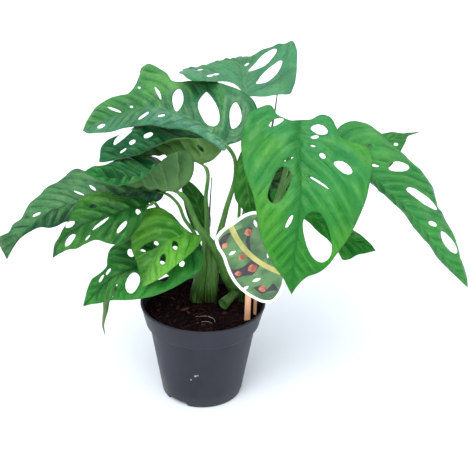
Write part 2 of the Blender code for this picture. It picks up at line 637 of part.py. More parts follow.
def material(name):
    found = bpy.data.materials.get(name)
    if found:
        return found
    made = bpy.data.materials.new(name)
    made.use_nodes = True
    shader = made.node_tree.nodes["Principled BSDF"]
    shader.inputs["Base Color"].default_value = (*COLOURS[name], 1.0)
    shader.inputs["Roughness"].default_value = ROUGHNESS[name]
    shader.inputs["Metallic"].default_value = 0.0
    return made


def make_object(name, points, faces, colour):
    """Object from points in millimetres, without the points that no face uses."""
    used = sorted({int(i) for face in faces for i in face})
    renumber = {old: new for new, old in enumerate(used)}
    mesh = bpy.data.meshes.new(name)
    mesh.from_pydata([tuple(float(c) * MM for c in points[i]) for i in used], [],
                     [[renumber[int(i)] for i in face] for face in faces])
    mesh.materials.append(material(colour))
    mesh.shade_smooth()
    mesh.set_sharp_from_angle(angle=SHARP_ANGLE)
    thing = bpy.data.objects.new(name, mesh)
    bpy.context.scene.collection.objects.link(thing)
    return thing


def revolve(name, profile, sides, colour):
    """Solid turned from a closed profile of (radius, height) that starts and ends on the axis."""
    points = [(0.0, 0.0, profile[0][1])]
    for radius, height in profile[1:-1]:
        for k in range(sides):
            angle = 2 * math.pi * k / sides
            points.append((radius * math.cos(angle), radius * math.sin(angle), height))
    points.append((0.0, 0.0, profile[-1][1]))
    faces = []
    for ring in range(len(profile) - 3):
        low = 1 + ring * sides
        for k in range(sides):
            after = (k + 1) % sides
            faces.append((low + k, low + after, low + sides + after, low + sides + k))
    last = len(points) - 1
    top = 1 + (len(profile) - 3) * sides
    for k in range(sides):
        after = (k + 1) % sides
        faces.append((0, 1 + after, 1 + k))
        faces.append((last, top + k, top + after))
    return make_object(name, points, faces, colour)


def box(name, middle, size, turn=0.0):
    """Box by its middle and size, turned about its own upright axis."""
    turned = Matrix.Rotation(math.radians(turn), 3, "Z")
    points = []
    for x in (-0.5, 0.5):
        for y in (-0.5, 0.5):
            for z in (-0.5, 0.5):
                points.append(turned @ Vector((x * size[0], y * size[1], z * size[2])) + Vector(middle))
    faces = [(0, 1, 3, 2), (4, 6, 7, 5), (0, 4, 5, 1), (2, 3, 7, 6), (0, 2, 6, 4), (1, 5, 7, 3)]
    return make_object(name, points, faces, "stick")


def column(name, middle, radius, bottom, top, sides, colour):
    """Upright round column with a low domed top."""
    inner = radius * STOCK_DOME_SHARE
    profile = [(0, bottom), (radius, bottom), (radius, top - STOCK_DOME), (inner, top), (0, top)]
    made = revolve(name, profile, sides, colour)
    for vertex in made.data.vertices:
        vertex.co.x += middle[0] * MM
        vertex.co.y += middle[1] * MM
    return made


def tube(name, points, radii, sides, colour):
    """Round tapering tube along a smooth curve, with closed ends."""
    length = run_length(np.asarray(points, float))[-1]
    count = max(5, int(length / STALK_RING_STEP) + 2)
    line, _ = even_path(points, count)
    radius = stations(radii, np.linspace(0, 1, count))
    tangent = np.gradient(line, axis=0)
    tangent /= np.linalg.norm(tangent, axis=1)[:, None]
    side = np.cross(tangent[0], (0.0, 1.0, 0.0))
    corners = []
    for k in range(count):
        side = side - side.dot(tangent[k]) * tangent[k]
        side /= np.linalg.norm(side)
        other = np.cross(tangent[k], side)
        for j in range(sides):
            angle = 2 * math.pi * j / sides
            corners.append(line[k] + radius[k] * (math.cos(angle) * side + math.sin(angle) * other))
    faces = [tuple(range(sides))[::-1], tuple(range((count - 1) * sides, count * sides))]
    for ring in range(count - 1):
        low = ring * sides
        for j in range(sides):
            after = (j + 1) % sides
            faces.append((low + j, low + after, low + sides + after, low + sides + j))
    return make_object(name, corners, faces, colour)


def drop_pockets(mesh):
    """Removes all but the largest shell, which fills the sealed pockets between stalks that touch."""
    shells = []
    waiting = set(mesh.verts)
    while waiting:
        shell = set()
        edge_of = [waiting.pop()]
        while edge_of:
            vertex = edge_of.pop()
            shell.add(vertex)
            near = {edge.other_vert(vertex) for edge in vertex.link_edges} & waiting
            waiting -= near
            edge_of += near
        shells.append(shell)
    shells.sort(key=len)
    for shell in shells[:-1]:
        bmesh.ops.delete(mesh, geom=list(shell), context="VERTS")


def combine(base, others, operation):
    """Joins or cuts a base object with others by one exact Boolean, and removes the others."""
    group = bpy.data.collections.new("tools")
    bpy.context.scene.collection.children.link(group)
    for thing in others:
        group.objects.link(thing)
    boolean = base.modifiers.new("boolean", "BOOLEAN")
    boolean.operation = operation
    boolean.operand_type = "COLLECTION"
    boolean.collection = group
    boolean.solver = "EXACT"
    bpy.context.view_layer.update()
    evaluated = base.evaluated_get(bpy.context.evaluated_depsgraph_get())
    mesh = bpy.data.meshes.new_from_object(evaluated)
    base.modifiers.clear()
    base.data = mesh
    for thing in others:
        bpy.data.objects.remove(thing)
    bpy.data.collections.remove(group)
    clean = bmesh.new()
    clean.from_mesh(mesh)
    bmesh.ops.remove_doubles(clean, verts=clean.verts, dist=WELD)
    drop_pockets(clean)
    bmesh.ops.triangulate(clean, faces=clean.faces)
    clean.to_mesh(mesh)
    clean.free()
    mesh.shade_smooth()
    mesh.set_sharp_from_angle(angle=SHARP_ANGLE)
    return base


def build_pot():
    inner_step = POT_STEP_RADIUS - POT_WALL
    profile = [
        (0, 0), (POT_BASE_RADIUS - POT_FOOT_CHAMFER, 0), (POT_BASE_RADIUS, POT_FOOT_CHAMFER),
        (POT_STEP_RADIUS, POT_STEP_HEIGHT), (COLLAR_FOOT_RADIUS, COLLAR_FOOT_HEIGHT),
        (POT_RIM_RADIUS, POT_HEIGHT - POT_RIM_CHAMFER), (POT_RIM_RADIUS - POT_RIM_CHAMFER, POT_HEIGHT),
        (POT_RIM_RADIUS - POT_WALL, POT_HEIGHT),
        (COLLAR_FOOT_RADIUS - POT_WALL, COLLAR_FOOT_HEIGHT + POT_WALL),
        (inner_step, POT_STEP_HEIGHT + POT_WALL),
        (POT_BASE_RADIUS - POT_WALL, POT_FLOOR), (0, POT_FLOOR),
    ]
    pot = revolve("pot", profile, POT_SIDES, "pot")
    cutters = []
    for number, angle in enumerate(NOTCH_ANGLES):
        way = Vector((math.cos(math.radians(angle)), math.sin(math.radians(angle)), 0))
        size = (NOTCH_DEPTH, NOTCH_WIDTH, 2 * NOTCH_HEIGHT)
        cutters.append(box(f"notch_{number}", way * POT_BASE_RADIUS, size, angle))
    combine(pot, cutters, "DIFFERENCE")


def build_soil():
    gap = POT_WALL + SEAT_GAP
    rim_share = (SOIL_EDGE_HEIGHT - COLLAR_FOOT_HEIGHT) / (POT_HEIGHT - COLLAR_FOOT_HEIGHT)
    collar_radius = COLLAR_FOOT_RADIUS + (POT_RIM_RADIUS - COLLAR_FOOT_RADIUS) * rim_share
    edge_radius = collar_radius - gap - SOIL_EDGE_GAP
    profile = [
        (0, POT_FLOOR + SEAT_GAP), (POT_BASE_RADIUS - gap, POT_FLOOR + SEAT_GAP),
        (POT_STEP_RADIUS - gap, POT_STEP_HEIGHT + POT_WALL + SEAT_GAP),
        (COLLAR_FOOT_RADIUS - gap, COLLAR_FOOT_HEIGHT + POT_WALL + SEAT_GAP),
    ]
    profile += [(edge_radius * share, height) for share, height in SOIL_TOP]
    soil = revolve("soil", profile, SOIL_SIDES, "soil")
    cutters = []
    for name, shoot in SHOOTS.items():
        radius = shoot["radius"] + HOLE_GAP
        cutters.append(column(f"hole_{name}", shoot["middle"], radius, STOCK_BOTTOM - HOLE_GAP, HOLE_TOP,
                              STOCK_SIDES, "soil"))
    for name, stick in STICKS.items():
        width, depth = (size + 2 * HOLE_GAP for size in stick["size"])
        bottom = stick["bottom"] - HOLE_GAP
        middle = (*stick["middle"], (bottom + stick["top"]) / 2)
        cutters.append(box(f"hole_{name}", middle, (width, depth, stick["top"] - bottom)))
    combine(soil, cutters, "DIFFERENCE")


def stalk_points(points, ends=()):
    """A stalk rises straight out of its root stock, and its last points may be given apart."""
    foot = [(*points[0], STALK_FOOT), (*points[0], STALK_NECK)]
    return foot + list(points[1:]) + list(ends)


def build_shoot(name, shoot):
    stock = column(name, shoot["middle"], shoot["radius"], STOCK_BOTTOM, STOCK_TOP, STOCK_SIDES, "stem")
    stalks = []
    for leaf in LEAVES:
        if leaf["shoot"] == name:
            radii, points = leaf["stalk"]
            route = stalk_points(points, Blade(leaf).stalk_end(radii[-1], np.array(points[-1])))
            stalks.append(tube("stalk_" + leaf["name"], route, radii, STALK_SIDES, "stem"))
    for number, (radii, points) in enumerate(shoot["rolled"]):
        stalks.append(tube(f"rolled_{number}", stalk_points(points), radii, STALK_SIDES, "stem"))
    combine(stock, stalks, "UNION")


def build_leaf(leaf):
    blade = Blade(leaf)
    flat, faces = flat_mesh(blade)
    points, faces = thicken(blade.place(flat), faces, BLADE_THICKNESS)
    make_object(leaf["name"], points, faces, leaf["colour"])


def build_label():
    closed = np.asarray(LABEL_OUTLINE + LABEL_OUTLINE[:1], float)
    knots = run_length(closed)
    outline = spline(knots, closed, np.linspace(0, knots[-1], LABEL_POINTS + 1))[:-1]
    faces = [tuple(range(LABEL_POINTS)), tuple(range(LABEL_POINTS, 2 * LABEL_POINTS))[::-1]]
    for k in range(LABEL_POINTS):
        after = (k + 1) % LABEL_POINTS
        faces.append((k, k + LABEL_POINTS, after + LABEL_POINTS, after))
    points = [(x, LABEL_Y - LABEL_THICKNESS / 2, z) for x, z in outline]
    points += [(x, LABEL_Y + LABEL_THICKNESS / 2, z) for x, z in outline]
    make_object("label", points, faces, "label")


def build_stick(name, stick):
    middle = (*stick["middle"], (stick["bottom"] + stick["top"]) / 2)
    made = box(name, middle, (*stick["size"], stick["top"] - stick["bottom"]))
    bevel = made.modifiers.new("edges", "BEVEL")
    bevel.width = STICK_EDGE * MM
    bevel.segments = 1


def clear_scene():
    for thing in list(bpy.data.objects):
        bpy.data.objects.remove(thing)


def main():
    clear_scene()
    build_pot()
    build_soil()
    for name, shoot in SHOOTS.items():
        build_shoot(name, shoot)
    for leaf in LEAVES:
        build_leaf(leaf)
    build_label()
    for name, stick in STICKS.items():
        build_stick(name, stick)


main()
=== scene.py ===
"""Looks of a potted Swiss cheese vine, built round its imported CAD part.

Lengths are in millimetres and are turned into metres when a mesh is made. +Z is up, the origin is
the middle of the pot's underside, and the plant's best side looks towards -Y. The blades and stalks
repeat the CAD part's named values at a finer step.
"""
import math
import random

import bmesh
import bpy
import numpy as np
from mathutils import Euler, Matrix, Vector, noise
from mathutils.geometry import delaunay_2d_cdt


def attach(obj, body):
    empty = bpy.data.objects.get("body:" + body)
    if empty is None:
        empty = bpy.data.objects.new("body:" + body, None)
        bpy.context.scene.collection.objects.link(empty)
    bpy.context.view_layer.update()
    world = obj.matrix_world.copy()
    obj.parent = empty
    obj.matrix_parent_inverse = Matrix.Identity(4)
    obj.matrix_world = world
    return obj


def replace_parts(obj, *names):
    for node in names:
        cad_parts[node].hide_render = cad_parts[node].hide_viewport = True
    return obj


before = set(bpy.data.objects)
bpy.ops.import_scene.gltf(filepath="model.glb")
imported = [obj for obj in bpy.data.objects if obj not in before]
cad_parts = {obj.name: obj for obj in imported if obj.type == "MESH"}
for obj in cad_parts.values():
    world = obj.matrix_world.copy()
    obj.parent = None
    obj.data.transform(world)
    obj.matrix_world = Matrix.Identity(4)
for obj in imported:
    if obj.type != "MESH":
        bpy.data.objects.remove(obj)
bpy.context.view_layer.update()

MM = 0.001
# About a whole turn, in radians
FULL_TURN = 6.28

# Camera: the photograph's view of the pot's rim and base
CAMERA_PLACE = (0.029, -0.743, 0.5157)
CAMERA_PITCH = 64.9
CAMERA_ROLL = 1.6
CAMERA_LENS = 67.7
CAMERA_SENSOR = 36.0

# Stage: lights are (name, the way they come from, angle they spread over, strength, colour). The
# floor's corners are in metres
SKY_COLOUR = (0.93, 0.97, 1.0, 1.0)
SKY_STRENGTH = 0.7
LIGHTS = (
    ("key", (-0.5, -1.1, 1.3), 40.0, 1.6, (1.0, 1.0, 1.0)),
    ("fill", (0.7, -1.4, 0.35), 60.0, 0.6, (1.0, 1.0, 1.0)),
    ("top", (-0.1, -0.6, 1.8), 70.0, 1.8, (0.95, 0.99, 1.0)),
)
FLOOR = ((-8, -4, 0), (8, -4, 0), (8, 12, 0), (-8, 12, 0))

# Pot, and the shallow hollow under its floor
POT_HEIGHT = 98.0
POT_RIM_RADIUS = 60.0
POT_RIM_WIDTH = 1.9
POT_RIM_DEPTH = 1.8
POT_BASE_RADIUS = 39.3
POT_STEP_HEIGHT = 75.0
POT_STEP_RADIUS = 51.5
COLLAR_FOOT_RADIUS = 55.0
COLLAR_FOOT_HEIGHT = 77.2
POT_WALL = 1.2
POT_FLOOR = 2.0
HOLLOW_HEIGHT = 1.4
HOLLOW_RADIUS = 30.0
POT_SIDES = 144
NOTCH_ANGLES = (235.0, 355.0, 115.0)
NOTCH_WIDTH = 24.0
NOTCH_HEIGHT = 4.6
NOTCH_DEPTH = 15.0
NOTCH_CORNER = 2.5

# How round the pot's corners are, and the collar's foot, which is hardly rounded
POT_ROUNDING = 2.4
SHARPER = {(COLLAR_FOOT_RADIUS, COLLAR_FOOT_HEIGHT): 0.25}

# Soil: (share of the radius, height) of its top, and its lumps as (size, height, layer of the noise)
SOIL_RADIUS = 55.2
SOIL_TOP = ((0.0, 91.0), (0.6, 90.6), (0.9, 89.4), (1.0, 88.0))
SOIL_FOOT = 76.0
SOIL_FOOT_RADIUS = 49.5
SOIL_RINGS = 90
SOIL_SIDES = 200
SOIL_LUMP = 1.3
SOIL_LUMPS = ((7.0, 1.0, 1.3), (2.6, 0.55, 4.1), (1.2, 0.3, 7.7))
SOIL_DROP = 0.6

# What lies on the soil: bark chips are (place, size, turn), and pale roots (radius, points and lifts)
CRUMBS = 420
CRUMB_SEED = 11
CRUMB_SPREAD = 0.97
CRUMB_SIZES = (0.7, 0.9, 1.2, 1.6, 2.2)
CRUMB_SIDES = 6
CHIP_WIDTH = 0.4
CHIP_THICKNESS = 0.22
FIBRES = 150
FIBRE_SEED = 5
FIBRE_SPREAD = 0.95
FIBRE_RADII = (0.14, 0.18, 0.24)
FIBRE_LENGTHS = (6, 22)
FIBRE_STEPS = 5
FIBRE_LIFT = 1.2
FIBRE_BEND = 0.7
FIBRE_EDGE_GAP = 1.5
FIBRE_TAPER = np.array((1.0, 0.9, 0.4))
ROOT_TAPER = np.array((0.6, 1.0, 0.6))
# Materials of crumbs and fibres to draw from, and that of the chips and of the pale roots
LOOSE_KINDS = (0, 0, 0, 1)
PLACED_KIND = 2
BARK_CHIPS = (
    ((-17.0, -8.0), 5.5, 0.6), ((-13.5, -12.0), 3.6, 2.3), ((-24.0, -3.0), 4.0, 1.4),
    ((21.0, -12.0), 3.4, 0.3), ((-30.0, 14.0), 4.2, 2.0), ((14.0, 34.0), 4.5, 1.0),
    ((-8.0, 38.0), 3.5, 2.6), ((2.0, -34.0), 3.0, 0.2),
)
PALE_ROOTS = (
    (0.28, ((-6.0, -20.0, 0.8), (-1.0, -20.5, 1.4), (4.0, -21.0, 1.2), (9.0, -22.5, 1.4),
            (12.0, -25.5, 1.0), (12.5, -28.0, 0.6))),
    (0.24, ((-4.0, -31.0, 0.8), (1.0, -30.5, 1.2), (6.0, -30.0, 1.0), (10.0, -31.5, 0.6))),
)

# Root stocks: (height, share of the radius), and how deep the lobes between the stalks are
STOCK_BOTTOM = 66.0
STOCK_TOP = 91.5
STOCK_PROFILE = ((STOCK_BOTTOM, 0.75), (80.0, 0.95), (87.0, 1.0), (90.5, 0.85), (STOCK_TOP, 0.45))
STOCK_SIDES = 24
STOCK_LOBES = 3
STOCK_LOBE_DEPTH = 0.07

# Stalks: the sheath near the soil, the joint under the blade, and the cut stub's splayed end
STALK_FOOT = 85.0
STALK_NECK = 93.0
STALK_SIDES = 16
STALK_STEP = 3.0
SHEATH_SWELL = 0.75
SHEATH_SHARE = 0.5
JOINT_SWELL = 0.22
JOINT_LENGTH = 14.0
END_LENGTH = 12.0
END_TAPER = 0.75
STUB_SPLAY = 0.45
STUB_SPLAY_START = 0.55
# How far a stalk's lower and upper ends bulge, in shares of their radius; a stub's end is hollow
STALK_ENDS = (0.3, 0.6)
POINTED_ENDS = (0.3, 2.0)
STUB_ENDS = (0.3, -0.35)

# Where a stalk ends under its blade, as (station of the rib, share of the stalk's radius below it,
# more below it): along the rib, or at the blade's base alone. The stalks of some blades are tucked
# further in, by a number of stations, and each station takes the first end lower
GRIP_ENDS = ((0, 1.25, 0.4), (7, 1.25, 0.2), (14, 1.0, 0.0))
BASE_ENDS = ((0, 0.9, 0.0), (4, 0.7, 0.0))
TUCKED = {"leaf_front_right": 4, "leaf_top": 3}
TUCK_DROP = 0.25

# Stalks without a blade: the materials of each shoot's, in their order
STALK_KINDS = ("stem", "tail", "stub", "spear")
BARE_STALKS = {"shoot_left": ("tail",), "shoot_middle": ("spear",), "shoot_right": ("spear", "stub")}

# Blades, as the part makes them
RIB_SAMPLES = 101
CURVE_SAMPLES = 400
VEIN_BEND = 0.12
NARROWEST_TIP = 0.5
# How far a side vein leans towards the tip, for shares of the rib from behind the base to the tip
VEIN_STARTS = (-0.25, -0.1, 0.0, 0.1, 0.25, 0.5, 0.75, 1.0)
VEIN_LEANS = (-1.3, -0.95, -0.45, 0.1, 0.45, 0.65, 0.8, 0.95)

# Blades, as they are meshed here
EDGE_STEP = 2.0
SLOT_STEP = 1.6
RIB_STEP = 2.4
RIB_SIDE = 1.5
RIB_CLEARANCE = 0.6
GRID_STEP = 1.9
GRID_ROW = 0.87
GRID_CLEARANCE = 1.0
UPPER_THICKNESS = 0.2
UNDER_THICKNESS = 0.25
THIN_EDGE = 2.0

# Side veins as they look: how much more they lean and bend than the slots' veins, how unevenly they
# lie, and how the blade swells between them
VEIN_PITCH = 12.0
LOOK_LEAN = 0.36
LOOK_BEND = 0.6
VEIN_WANDER = 1.8
SLOW_WANDER = 19.0
QUICK_WANDER = 8.3
QUICK_WANDER_ACROSS = 21.0
QUICK_WANDER_SHARE = 0.6
VEIN_SEARCHES = 30
QUILT = 2.5
PANEL_LUMP = 1.7
PANEL_ACROSS = 8.0
PANEL_ALONG = 9.0
RIB_GROOVE = 0.8
RIB_GROOVE_WIDTH = 2.0
RIB_RIDGE = 1.0
RIB_RIDGE_WIDTH = 1.2
RIB_RIDGE_TAPER = 0.7
VEIN_RIDGE = 0.25
VEIN_RIDGE_WIDTH = 0.9
# Where these begin and are full, in millimetres from the margin or from the rib
QUILT_FROM_MARGIN = (0.5, 9.0)
QUILT_FROM_RIB = (0.5, 10.0)
LUMP_FROM_MARGIN = (0.5, 6.0)
RIDGE_FROM_MARGIN = (1.0, 5.0)
# Slow waves of the blade: (length, height)
WAVES = ((38.0, 0.5), (21.0, 0.3), (11.0, 0.12))
# Fine wrinkles that run with the side veins: changes per millimetre across them and along them
STREAK_ACROSS = 0.36
STREAK_ALONG = 0.05

# Label: white border, a band, and plain shapes as (number in CARDS, middle, length, width, turn)
LABEL_Y = -22.0
LABEL_POINTS = 120
LABEL_THICKNESS = 0.8
LABEL_ROUNDING = 0.15
LABEL_BORDER = 3.0
LABEL_OUTLINE = (
    (15, 181), (11, 174), (13, 165), (18, 156), (21, 147), (25, 137), (31, 127), (39, 119), (48, 113),
    (58, 109), (66, 110), (72, 117), (76, 128), (77, 145), (72, 170), (61, 193), (47, 202), (37, 199),
    (28, 192), (20, 186),
)
LABEL_BAND = ((22, 196), (29, 178), (40, 162), (54, 150), (72, 141))
LABEL_BAND_WIDTH = 5.0
LABEL_SHAPES = (
    (4, (50, 182), 44, 22, 70), (4, (37, 143), 48, 20, 40), (4, (58, 126), 34, 16, -30),
    (4, (20, 172), 20, 9, 60), (2, (30, 172), 38, 15, 55), (2, (50, 168), 44, 14, 100),
    (2, (30, 150), 30, 13, 15), (2, (43, 131), 36, 13, 5), (2, (62, 140), 40, 14, 75),
    (2, (52, 192), 28, 11, 20), (2, (60, 115), 30, 10, 30), (5, (41, 181), 8, 7, 20),
    (5, (36, 156), 8, 6, 50), (5, (46, 145), 10, 8, 30), (5, (33, 139), 7, 5, 10),
    (5, (56, 124), 8, 7, 0), (5, (20, 167), 7, 5, 60), (0, (27, 160), 8, 3, 35),
    (0, (50, 133), 9, 3.4, 25), (0, (40, 124), 8, 3, 40), (0, (60, 160), 9, 3, 80),
    (0, (47, 190), 8, 3, 110),
)

# Colours, here and below, are as a screen shows them. Label: (name, dark, light, grain)
CARDS = (
    ("label_white", (240, 240, 238), (250, 250, 248), 90.0),
    ("label_green", (58, 104, 56), (98, 142, 84), 90.0),
    ("label_leaf", (40, 84, 42), (84, 130, 72), 60.0),
    ("label_band", (168, 164, 84), (194, 188, 108), 90.0),
    ("label_night", (28, 22, 32), (58, 40, 46), 90.0),
    ("label_clay", (140, 62, 48), (206, 134, 96), 160.0),
)
LABEL_BAND_CARD = 3
# Crumbs and fibres: dark and light
CRUMB_TONES = {
    "bark_dark": ((12, 6, 8), (31, 17, 18)),
    "bark_brown": ((30, 16, 16), (58, 36, 32)),
    "bark_chip": ((54, 32, 32), (92, 60, 54)),
}
FIBRE_TONES = {
    "fibre_brown": ((30, 15, 15), (56, 31, 28)),
    "fibre_red": ((52, 27, 24), (84, 50, 42)),
    "fibre_pale": ((120, 116, 104), (166, 160, 144)),
}
# Stalks: dark, light, and a painted shade near the soil
STEM_TONES = {
    "stem": ((54, 100, 38), (86, 134, 60), (14, 18, 4)),
    "stub": ((58, 100, 44), (92, 132, 74), (60, 92, 44)),
    "spear": ((52, 60, 50), (74, 84, 66), (14, 18, 4)),
}
# Pale scuffs on the pot: (place, size)
SCUFFS = (((-4.6, -45.9, 41.0), 2.4), ((-2.2, -46.0, 41.8), 1.8), ((-8.8, -44.2, 35.7), 1.6))

# Blades: upper side at the base and at the tip, a darker tone for its clouds, fine veins and the painted
# shade in its grooves, and the underside, with its veins
OLIVE = (84, 120, 66)
UNDER_VEIN = (106, 140, 84)
TONES = {
    "leaf_front_right": ((46, 124, 66), (28, 120, 10), (24, 100, 34), OLIVE),
    "leaf_top": ((60, 126, 88), (56, 126, 80), (32, 94, 58), OLIVE),
    "leaf_upper_left": ((34, 102, 62), (54, 130, 56), (6, 70, 36), OLIVE),
    # Painted shade in the very dark upper tones of leaf_mid_left, which lies under leaf_upper_left, and of
    # leaf_far_left, whose near half lies in deep shade
    "leaf_mid_left": ((4, 80, 48), (4, 74, 42), (2, 44, 26), (74, 116, 54)),
    "leaf_inner_left": ((14, 96, 50), (20, 106, 44), (2, 48, 26), (62, 106, 56)),
    "leaf_far_left": ((6, 68, 40), (10, 76, 40), (2, 38, 26), (60, 100, 50)),
    "leaf_lower_left": ((16, 82, 24), (28, 100, 26), (5, 54, 14), (66, 106, 48)),
    "leaf_young": ((66, 138, 26), (104, 168, 62), (28, 98, 16), (76, 122, 46)),
    "leaf_low_left": ((14, 110, 36), (44, 132, 40), (5, 68, 24), (60, 100, 50)),
    "leaf_far_right": ((46, 122, 58), (44, 130, 54), (22, 94, 42), OLIVE),
    "leaf_back_right": ((46, 114, 54), (34, 108, 40), (16, 82, 34), OLIVE),
    "leaf_low_right": ((12, 120, 24), (10, 116, 22), (4, 76, 18), OLIVE),
    "leaf_middle": ((42, 114, 26), (30, 104, 22), (12, 66, 16), OLIVE),
    "leaf_back_middle": ((18, 58, 20), (16, 54, 18), (8, 36, 12), (48, 82, 38)),
    "leaf_small": ((28, 92, 20), (22, 82, 18), (10, 56, 12), OLIVE),
}
# Patches away from the rib, on some blades
WARM = {
    "leaf_front_right": (76, 146, 40), "leaf_upper_left": (92, 156, 62),
    "leaf_lower_left": (64, 128, 34), "leaf_young": (88, 152, 36),
    "leaf_low_left": (44, 134, 40), "leaf_far_right": (70, 142, 66),
}
# Half of a blade in another light than the rest, its side and its colour: painted light on the lit half
# of leaf_far_left and leaf_mid_left, a painted cool sheen on leaf_upper_left, painted shade on leaf_young
LIT_AND_SHADED_HALVES = {
    "leaf_far_left": (1, (72, 126, 78)), "leaf_upper_left": (-1, (74, 134, 106)),
    "leaf_mid_left": (1, (20, 92, 50)), "leaf_young": (1, (24, 92, 14)),
}
# Tones that every blade's colours are mixed with: at pale patches and as painted highlight on the panels'
# crowns and the wrinkles' ridges, at the rib, at the margin
PATCH_AND_HIGHLIGHT_TONE = (124, 176, 96)
RIB_TONE = (128, 176, 96)
MARGIN_TONE = (70, 104, 50)

# Blades with deeper quilting, and how strong the painted shade in the grooves at the side veins is, where
# not as usual
DEEP = {
    "leaf_mid_left": 1.4, "leaf_inner_left": 1.6, "leaf_far_left": 1.5, "leaf_lower_left": 1.3,
    "leaf_front_right": 1.1,
}
VEIN_SHADE = {
    "leaf_front_right": 0.34, "leaf_top": 0.32, "leaf_far_right": 0.4, "leaf_back_right": 0.4,
}
USUAL_VEIN_SHADE = 0.55
# Blades whose rib gets painted shade in its groove and trough, how strongly blades mirror the light, and
# those that do so more
SHADED_RIBS = ("leaf_front_right", "leaf_low_left", "leaf_lower_left")
SHINE = {"leaf": 0.18, "young": 0.18, "dark": 0.14}
GLOSSY = {"leaf_upper_left": 0.36, "leaf_top": 0.36}
LEAF_GLOW = {"Subsurface_Weight": 0.06, "Subsurface_Radius": (0.4, 1.0, 0.2), "Subsurface_Scale": 0.0015}

# Shoots: middle and radius of the root stock, and the stalks that end in no blade as (radii, points)
SHOOTS = {
    "shoot_left": {
        "middle": (-6.0, 12.0), "radius": 6.0,
        "rolled": [
            ((1.8, 1.7, 1.6, 1.5, 1.5, 1.5, 1.8, 4.8, 3.0, 1.6, 0.4),
             [(-6, 11), (-5.5, 10, 118), (-21.5, 7, 115), (-38.5, 4, 109.5), (-51, 1, 106.5),
              (-62.5, 1, 101.5), (-72, 0, 100.5), (-79.5, -2, 104.5), (-85.5, -4, 108), (-91, -7, 101),
              (-93, -8, 87.5), (-95, -8, 78), (-96, -8, 70.5), (-94.5, -8, 61.5)]),
        ],
    },
    "shoot_middle": {
        "middle": (6.5, 15.5), "radius": 5.5,
        "rolled": [((1.4, 1.2, 0.4), [(7, 17.5), (4, 19, 158), (6, 19, 217)])],
    },
    "shoot_right": {
        "middle": (34.0, 21.0), "radius": 6.5,
        "rolled": [
            ((2.0, 1.8, 1.4, 0.5), [(36, 24), (50, 30, 170), (58, 37, 245), (62, 28, 280), (63, 21, 297)]),
            ((4.2, 4.4, 4.2, 3.8), [(33, 20), (30, 13, 98), (25, 4, 97.5), (19.5, -4, 96)]),
        ],
    },
}

# Edge that more than one half has, from base to tip
PLAIN_EDGE = (
    (.2, -.065), (.5, -.075), (.83, .03), (.99, .21), (.98, .41), (.81, .6), (.55, .76), (.27, .88),
    (.1, .955),
)

